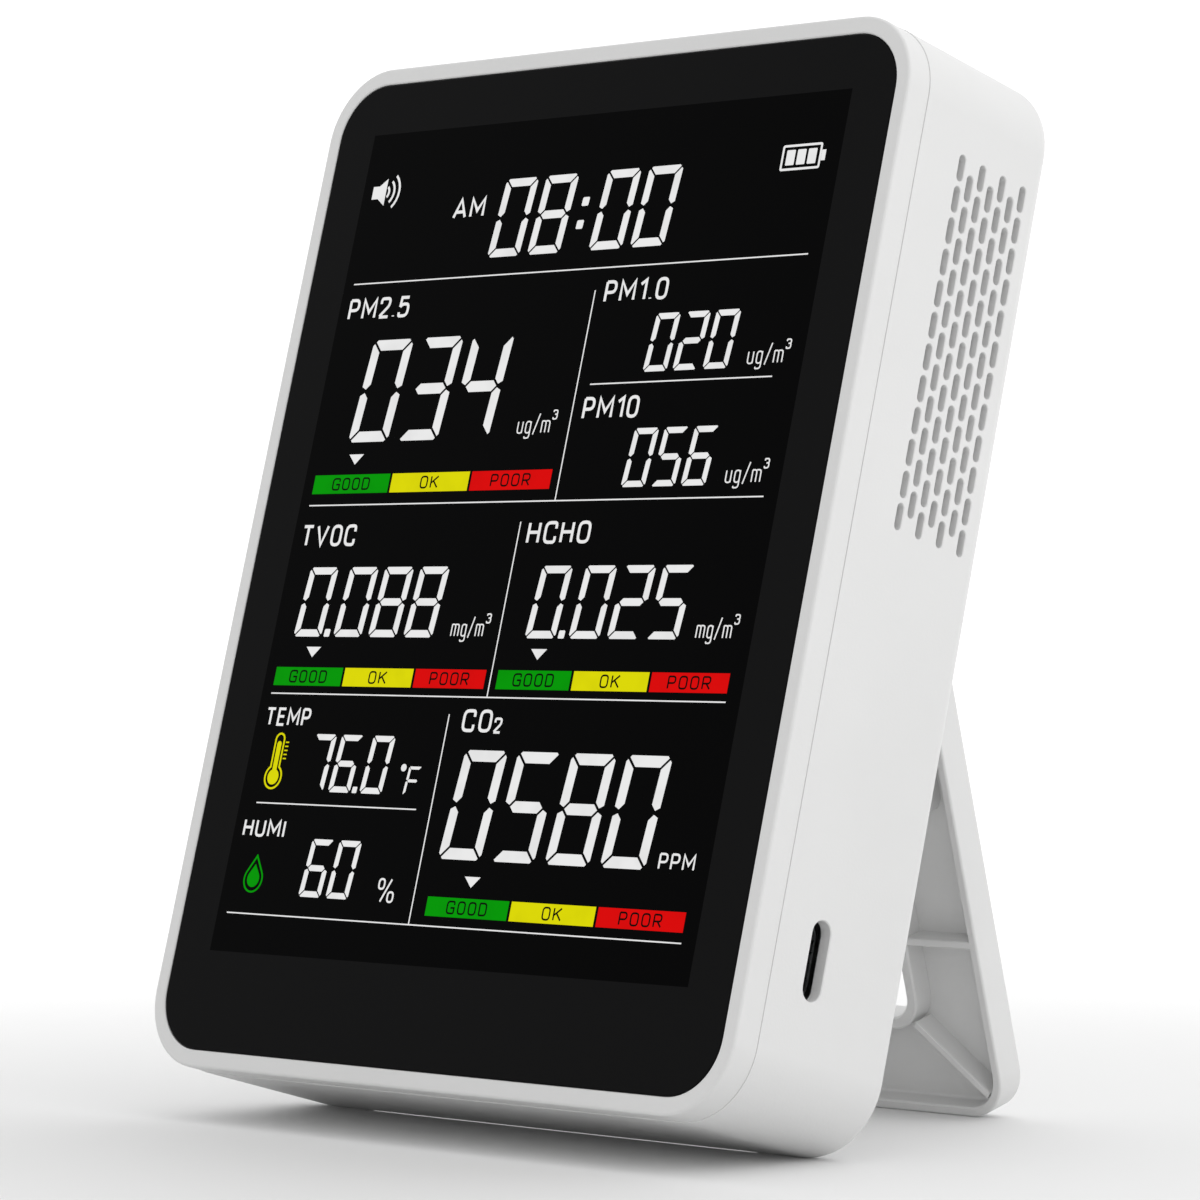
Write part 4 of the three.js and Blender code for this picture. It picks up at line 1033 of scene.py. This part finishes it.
# Each dividing line: left, right, bottom, top.
DIVIDERS = (
    (DISPLAY_LEFT, DISPLAY_RIGHT, 38.3, 38.3),
    (DISPLAY_LEFT, DISPLAY_RIGHT, 7.2, 7.2),
    (DISPLAY_LEFT, DISPLAY_RIGHT, -18.7, -18.7),
    (DISPLAY_LEFT, DISPLAY_RIGHT, -48.5, -48.5),
    (7.4, 38.4, 22.6, 22.6),
    (-39.7, -9.4, -33.6, -33.6),
    (5.0, 5.0, 7.2, 35.2),
    (-0.4, -0.4, -18.7, 4.4),
    (-6.6, -6.6, -48.5, -21.1),
)


def segment_outlines(width, height):
    """The seven mitred segments of an upright digit, as outlines in its own X and Z."""
    stroke = 0.103 * height
    gap = 0.018 * height
    corner = 0.35 * stroke
    middle = height / 2
    half = stroke / 2
    right = width - gap
    under = height - gap
    top = [
        (gap + corner, height), (right - corner, height), (right - corner / 2, height - corner / 2),
        (right - stroke, height - stroke), (gap + stroke, height - stroke),
        (gap + corner / 2, height - corner / 2),
    ]
    left = [
        (0, under - corner), (corner / 2, under - corner / 2), (stroke, under - stroke),
        (stroke, middle + gap + half), (half, middle + gap), (0, middle + gap + half / 2),
    ]
    across = [
        (gap + half, middle), (gap + stroke, middle + half), (right - stroke, middle + half),
        (right - half, middle), (right - stroke, middle - half), (gap + stroke, middle - half),
    ]

    def flipped(points):
        return [(x, height - z) for x, z in points]

    def mirrored(points):
        return [(width - x, z) for x, z in points]

    return {
        "a": top, "b": mirrored(left), "c": mirrored(flipped(left)), "d": flipped(top),
        "e": flipped(left), "f": left, "g": across,
    }


def dot_outline(x, z, half):
    return rounded_rect(x - half, x + half, z - half, z + half, half * 0.3, steps=2)


def reading_outlines(text, left, foot, height, pitch):
    """A row of slanted seven-segment characters, with its point or colon."""
    slant = 0.09
    width = 0.8 * pitch
    outlines = []
    x = left
    for character in text:
        if character in ":.":
            dot = 0.055 * height
            room = 3.8 if character == ":" else 0.11 * height
            heights = (0.34, 0.63) if character == ":" else (0.055,)
            shapes = [dot_outline(room / 2 - pitch + width + dot, share * height, dot) for share in heights]
        else:
            room = pitch
            shapes = [segment_outlines(width, height)[name] for name in SEGMENTS[character]]
        outlines += [[(x + px + slant * pz, foot + pz) for px, pz in points] for points in shapes]
        x += room
    return outlines


def offset_path(points, distance, closed):
    """The path moved sideways, with mitred corners."""
    path = [Vector(point) for point in points]
    if closed:
        path = [path[-1], *path, path[0]]
    else:
        path = [2 * path[0] - path[1], *path, 2 * path[-1] - path[-2]]
    result = []
    for before, here, after in zip(path, path[1:], path[2:]):
        first = (here - before).normalized()
        second = (after - here).normalized()
        normal = Vector((first.y + second.y, -first.x - second.x)).normalized()
        square = Vector((second.y, -second.x))
        result.append(tuple(here + normal * distance / max(normal.dot(square), 0.55)))
    return result


def rounded_path(points, radius, closed):
    """The path with its corners rounded, by at most half of each side."""
    path = [Vector(point) for point in points]
    ends = [] if closed else [path[0]]
    corners = zip([path[-1], *path], path, [*path[1:], path[0]]) if closed else zip(path, path[1:], path[2:])
    result = [tuple(point) for point in ends]
    for before, here, after in corners:
        reach = min(radius, (before - here).length / 2, (after - here).length / 2)
        start = here + (before - here).normalized() * reach
        end = here + (after - here).normalized() * reach
        for share in (0, 0.25, 0.5, 0.75, 1):
            spot = start * (1 - share) ** 2 + here * 2 * share * (1 - share) + end * share ** 2
            if not result or (spot - Vector(result[-1])).length > 0.01:
                result.append(tuple(spot))
    if not closed:
        result.append(tuple(path[-1]))
    return result


def stroke(points, width, closed, y0, y1):
    """A flat line of even width along a path."""
    outer = offset_path(points, width / 2, closed)
    inner = offset_path(points, -width / 2, closed)
    if closed:
        return strip(outer, inner, y0, y1)
    return prism([*outer, *reversed(inner)], y0, y1)


def lettering(text, left, right, bottom, top, width, y0, y1):
    """Letters of even stroke between a left and a right end, a foot and a head."""
    room = sum(GLYPHS[character][0] for character in text) + GLYPH_GAP * (len(text) - 1)
    across = (right - left - width) / room
    height = top - bottom - width
    meshes = []
    x = left + width / 2
    for character in text:
        share, paths = GLYPHS[character]
        for kind, points in paths:
            placed = [(x + px * share * across, bottom + width / 2 + pz * height) for px, pz in points]
            closed = kind == "loop"
            if kind != "sharp":
                placed = rounded_path(placed, 0.3 * height, closed)
            meshes.append(stroke(placed, width, closed, y0, y1))
        x += (share + GLYPH_GAP) * across
    return meshes


def lit_letters(text, left, right, bottom, top, width):
    return lettering(text, left, right, bottom, top, width, LIT_FRONT_Y, LIT_BACK_Y)


def unit_letters(text, left, foot):
    thin = 0.18
    return [
        *lit_letters(text, left, left + 5.9, foot, foot + 2.5, thin),
        *lit_letters("3", left + 6.1, left + 6.95, foot + 1.75, foot + 3.1, thin),
    ]


def lit(points):
    return prism(points, LIT_FRONT_Y, LIT_BACK_Y)


def divider(left, right, bottom, top):
    half = LINE / 2
    return lit(rectangle(left - half, right + half, bottom - half, top + half))


def pointer(x, z):
    """The small triangle that points down at a rating bar."""
    return lit([(x - POINTER, z + POINTER), (x + POINTER, z + POINTER), (x, z)])


def lit_band(outer, inner):
    return strip(outer, inner, LIT_FRONT_Y, LIT_BACK_Y)


def speaker_icon(left, middle):
    """A cone on a small box, and three waves."""
    neck = left + 1.2
    mouth = left + 2.6
    cone = [
        (left, middle - 0.9), (neck, middle - 0.9), (mouth, middle - 1.9),
        (mouth, middle + 1.9), (neck, middle + 0.9), (left, middle + 0.9),
    ]
    shapes = [lit(cone)]
    for radius in (1.1, 2.1, 3.1):
        wave = arc_points(left + 2.3, middle, radius, -0.55, 0.55, 8)
        wave += arc_points(left + 2.3, middle, radius - 0.35, 0.55, -0.55, 8)
        shapes.append(lit(wave))
    return shapes


def battery_icon(left, right, bottom, top):
    """A case with a terminal on its right end, and three bars of charge."""
    line = 0.3
    end = right - 0.7
    outer = rounded_rect(left, end, bottom, top, 0.3, steps=3)
    inner = rounded_rect(left + line, end - line, bottom + line, top - line, 0.1, steps=3)
    middle = (bottom + top) / 2
    terminal = rectangle(end + 0.05, right, middle - 0.7, middle + 0.7)
    shapes = [lit_band(outer, inner), lit(terminal)]
    for bar in range(3):
        x = left + 0.8 + bar * 1.8
        shapes.append(lit(rounded_rect(x, x + 1.4, bottom + 0.7, top - 0.7, 0.1, steps=2)))
    return shapes


def thermometer_outline(x, foot, height, bulb, tube):
    """A bulb with a round-topped tube standing on it."""
    spread_angle = math.asin(tube / bulb) / (math.pi / 2)
    centre = foot + bulb
    top = foot + height - tube
    round_bulb = arc_points(x, centre, bulb, 1 + spread_angle, 5 - spread_angle, 24)
    return round_bulb + arc_points(x, top, tube, 0, 2, 12)


def thermometer_icon(x, foot, height):
    line = 0.27
    bulb = 1.7
    tube = 0.95
    core_inset = 0.65
    outer = thermometer_outline(x, foot, height, bulb, tube)
    inner = thermometer_outline(x, foot + line, height - 2 * line, bulb - line, tube - line)
    core = thermometer_outline(x, foot + core_inset, height - 1.8, bulb - core_inset, 0.4)
    tick = 0.18
    top = foot + height - 1.2
    tick_tops = [top - 0.55 * i for i in range(5)]
    ticks = [lit(rectangle(x + 1.2, x + 1.8, z - tick, z)) for z in tick_tops]
    return [lit_band(outer, inner), lit(core), *ticks]


def drop_outline(x, foot, radius, height):
    """A round drop that runs up to a point."""
    centre = foot + radius
    lean = math.asin(radius / (height - radius)) / (math.pi / 2)
    return arc_points(x, centre, radius, 2 - lean, 4 + lean, 24) + [(x, foot + height)]


def drop_icon(x, foot):
    line = 0.25
    radius = 1.85
    height = 5.2
    outer = drop_outline(x, foot, radius, height)
    inner = drop_outline(x, foot + line, radius - line, height - 3 * line)
    return [lit_band(outer, inner), lit(drop_outline(x, foot + 0.75, 1.15, 3.1))]


def rating_bar(left, right, bottom, height):
    """Green, yellow and red blocks in a row, and the word on each."""
    gap = 0.45
    block_width = (right - left - 2 * gap) / 3
    blocks = []
    words = []
    for index, (text, width) in enumerate((("GOOD", 7.2), ("OK", 3.4), ("POOR", 7.2))):
        x0 = left + index * (block_width + gap)
        x1 = x0 + block_width
        middle = (x0 + x1) / 2
        margin = (height - 1.75) / 2
        blocks.append(lit(rectangle(x0, x1, bottom, bottom + height)))
        words += lettering(text, middle - width / 2, middle + width / 2, bottom + margin,
                           bottom + height - margin, 0.23, INK_FRONT_Y, INK_BACK_Y)
    return blocks, words


def display():
    white = [lit(points) for row in READINGS for points in reading_outlines(*row)]
    white += [mesh for label in LABELS for mesh in lit_letters(*label)]
    white += [mesh for unit in UNITS for mesh in unit_letters(*unit)]
    white += [divider(*line) for line in DIVIDERS]
    white += speaker_icon(*SPEAKER)
    white += battery_icon(*BATTERY)
    white.append(lit(inset_outline(disc(*DEGREE_DOT), 0, 4)))
    colors = ([], [], [])
    ink = []
    for left, right, bottom, height, pointer_x in RATING_BARS:
        blocks, words = rating_bar(left, right, bottom, height)
        for color, made in zip(colors, blocks):
            color.append(made)
        ink += words
        white.append(pointer(pointer_x, bottom + height + POINTER))
    green, yellow, red = colors
    yellow += thermometer_icon(*THERMOMETER)
    green += drop_icon(*DROP)
    for name, meshes, material in (
        ("display_readings", white, LIT_WHITE),
        ("display_green", green, LIT_GREEN),
        ("display_yellow", yellow, LIT_YELLOW),
        ("display_red", red, LIT_RED),
        ("display_words", ink, INK),
    ):
        piece(name, merged(meshes), CASE, "case", material)


# ---------- CAD nodes that stay ----------

def paint_inner_nodes():
    """Every CAD node that still shows gets the material of its record slot."""
    made = {"steel": STEEL, "plastic_black": BLACK, "felt_grey": pale_felt(), "board_green": circuit_board()}
    for part in frame["record"]["subparts"]:
        target = frame["nodes"][part["node"]]
        if target.hide_render:
            continue
        slot = part["material_slot"]
        if slot not in made:
            made[slot] = inner_material(slot)
        target.data.materials.clear()
        target.data.materials.append(made[slot])


# ---------- Studio ----------

CAMERA_AZIMUTH = 44.12
CAMERA_DISTANCE = 0.61966
CAMERA_TARGET = Vector((-0.00323, -0.00301, 0.06831))
CAMERA_LENS = 142.035
FLOOR_RADIUS = 0.9
FLOOR_SOLID_RADIUS = 0.08
FLOOR_FADED_RADIUS = 0.4
WORLD_FRONT = 0.75
WORLD_BACK = 1.2
LIGHT_TARGET = Vector((0, 0, 0.07))


def studio_floor():
    """A pale floor that fades into the backdrop with distance."""
    material, tree, shader = new_material("studio_floor")
    set_inputs(shader, {"Base Color": (0.82, 0.82, 0.82, 1), "Roughness": 0.7, "Specular IOR Level": 0.1})
    distance = node(tree, "VectorMath", operation="LENGTH")
    join(tree, own_place(tree), distance, 0)
    fade = node(tree, "MapRange", {
        "From Min": FLOOR_SOLID_RADIUS, "From Max": FLOOR_FADED_RADIUS, "To Min": 1, "To Max": 0,
    }, interpolation_type="SMOOTHSTEP")
    join(tree, distance.outputs["Value"], fade, "Value")
    join(tree, fade.outputs["Result"], shader, "Alpha")
    mesh = bmesh.new()
    bmesh.ops.create_circle(mesh, cap_ends=True, segments=96, radius=FLOOR_RADIUS)
    floor = plain_object("studio_floor", mesh)
    floor.data.materials.append(material)


def soft_light(name, azimuth, elevation, distance, size, power):
    """A square panel that faces the object from a direction round it."""
    light = bpy.data.lights.new(name, "AREA")
    light.size = size
    light.energy = power
    holder = linked(name, light)
    turn = math.radians(azimuth)
    rise = math.radians(elevation)
    away = Vector((math.sin(turn) * math.cos(rise), -math.cos(turn) * math.cos(rise), math.sin(rise)))
    holder.location = LIGHT_TARGET + away * distance
    holder.rotation_mode = "QUATERNION"
    holder.rotation_quaternion = away.to_track_quat("Z", "Y")


def studio_world():
    """White all round, dimmer towards the front and the left."""
    world = bpy.data.worlds.new("studio")
    world.use_nodes = True
    bpy.context.scene.world = world
    tree = world.node_tree
    background = tree.nodes["Background"]
    set_inputs(background, {"Color": (1, 1, 1, 1)})
    place = node(tree, "TexCoord")
    toward = node(tree, "VectorMath", {1: (0.3, 0.95, 0)}, operation="DOT_PRODUCT")
    join(tree, place.outputs["Generated"], toward, 0)
    level = node(tree, "MapRange", {
        "From Min": -0.9, "From Max": 0.3, "To Min": WORLD_FRONT, "To Max": WORLD_BACK,
    }, interpolation_type="SMOOTHSTEP")
    join(tree, toward.outputs["Value"], level, "Value")
    join(tree, level.outputs["Result"], background, "Strength")


def camera():
    data = bpy.data.cameras.new("camera")
    data.lens = CAMERA_LENS
    data.sensor_width = 36
    holder = linked("camera", data)
    turn = math.radians(CAMERA_AZIMUTH)
    away = Vector((math.sin(turn), -math.cos(turn), 0))
    holder.location = CAMERA_TARGET + away * CAMERA_DISTANCE
    holder.rotation_mode = "QUATERNION"
    holder.rotation_quaternion = (-away).to_track_quat("-Z", "Y")
    bpy.context.scene.camera = holder


# ---------- Build ----------

front_frame()
front_glass()
rear_housing()
for number, key in enumerate(BUTTON_NAMES):
    button(number, key)
for number, screw_place in enumerate(SCREW_PLACES, start=1):
    housing_screw(number, screw_place)
hinge_pin(-1, "left")
hinge_pin(1, "right")
kickstand()
display()
paint_inner_nodes()
studio_floor()
studio_world()
soft_light("key", azimuth=110, elevation=45, distance=1.2, size=0.9, power=0.6)
camera()
bpy.context.scene.view_settings.view_transform = "Standard"
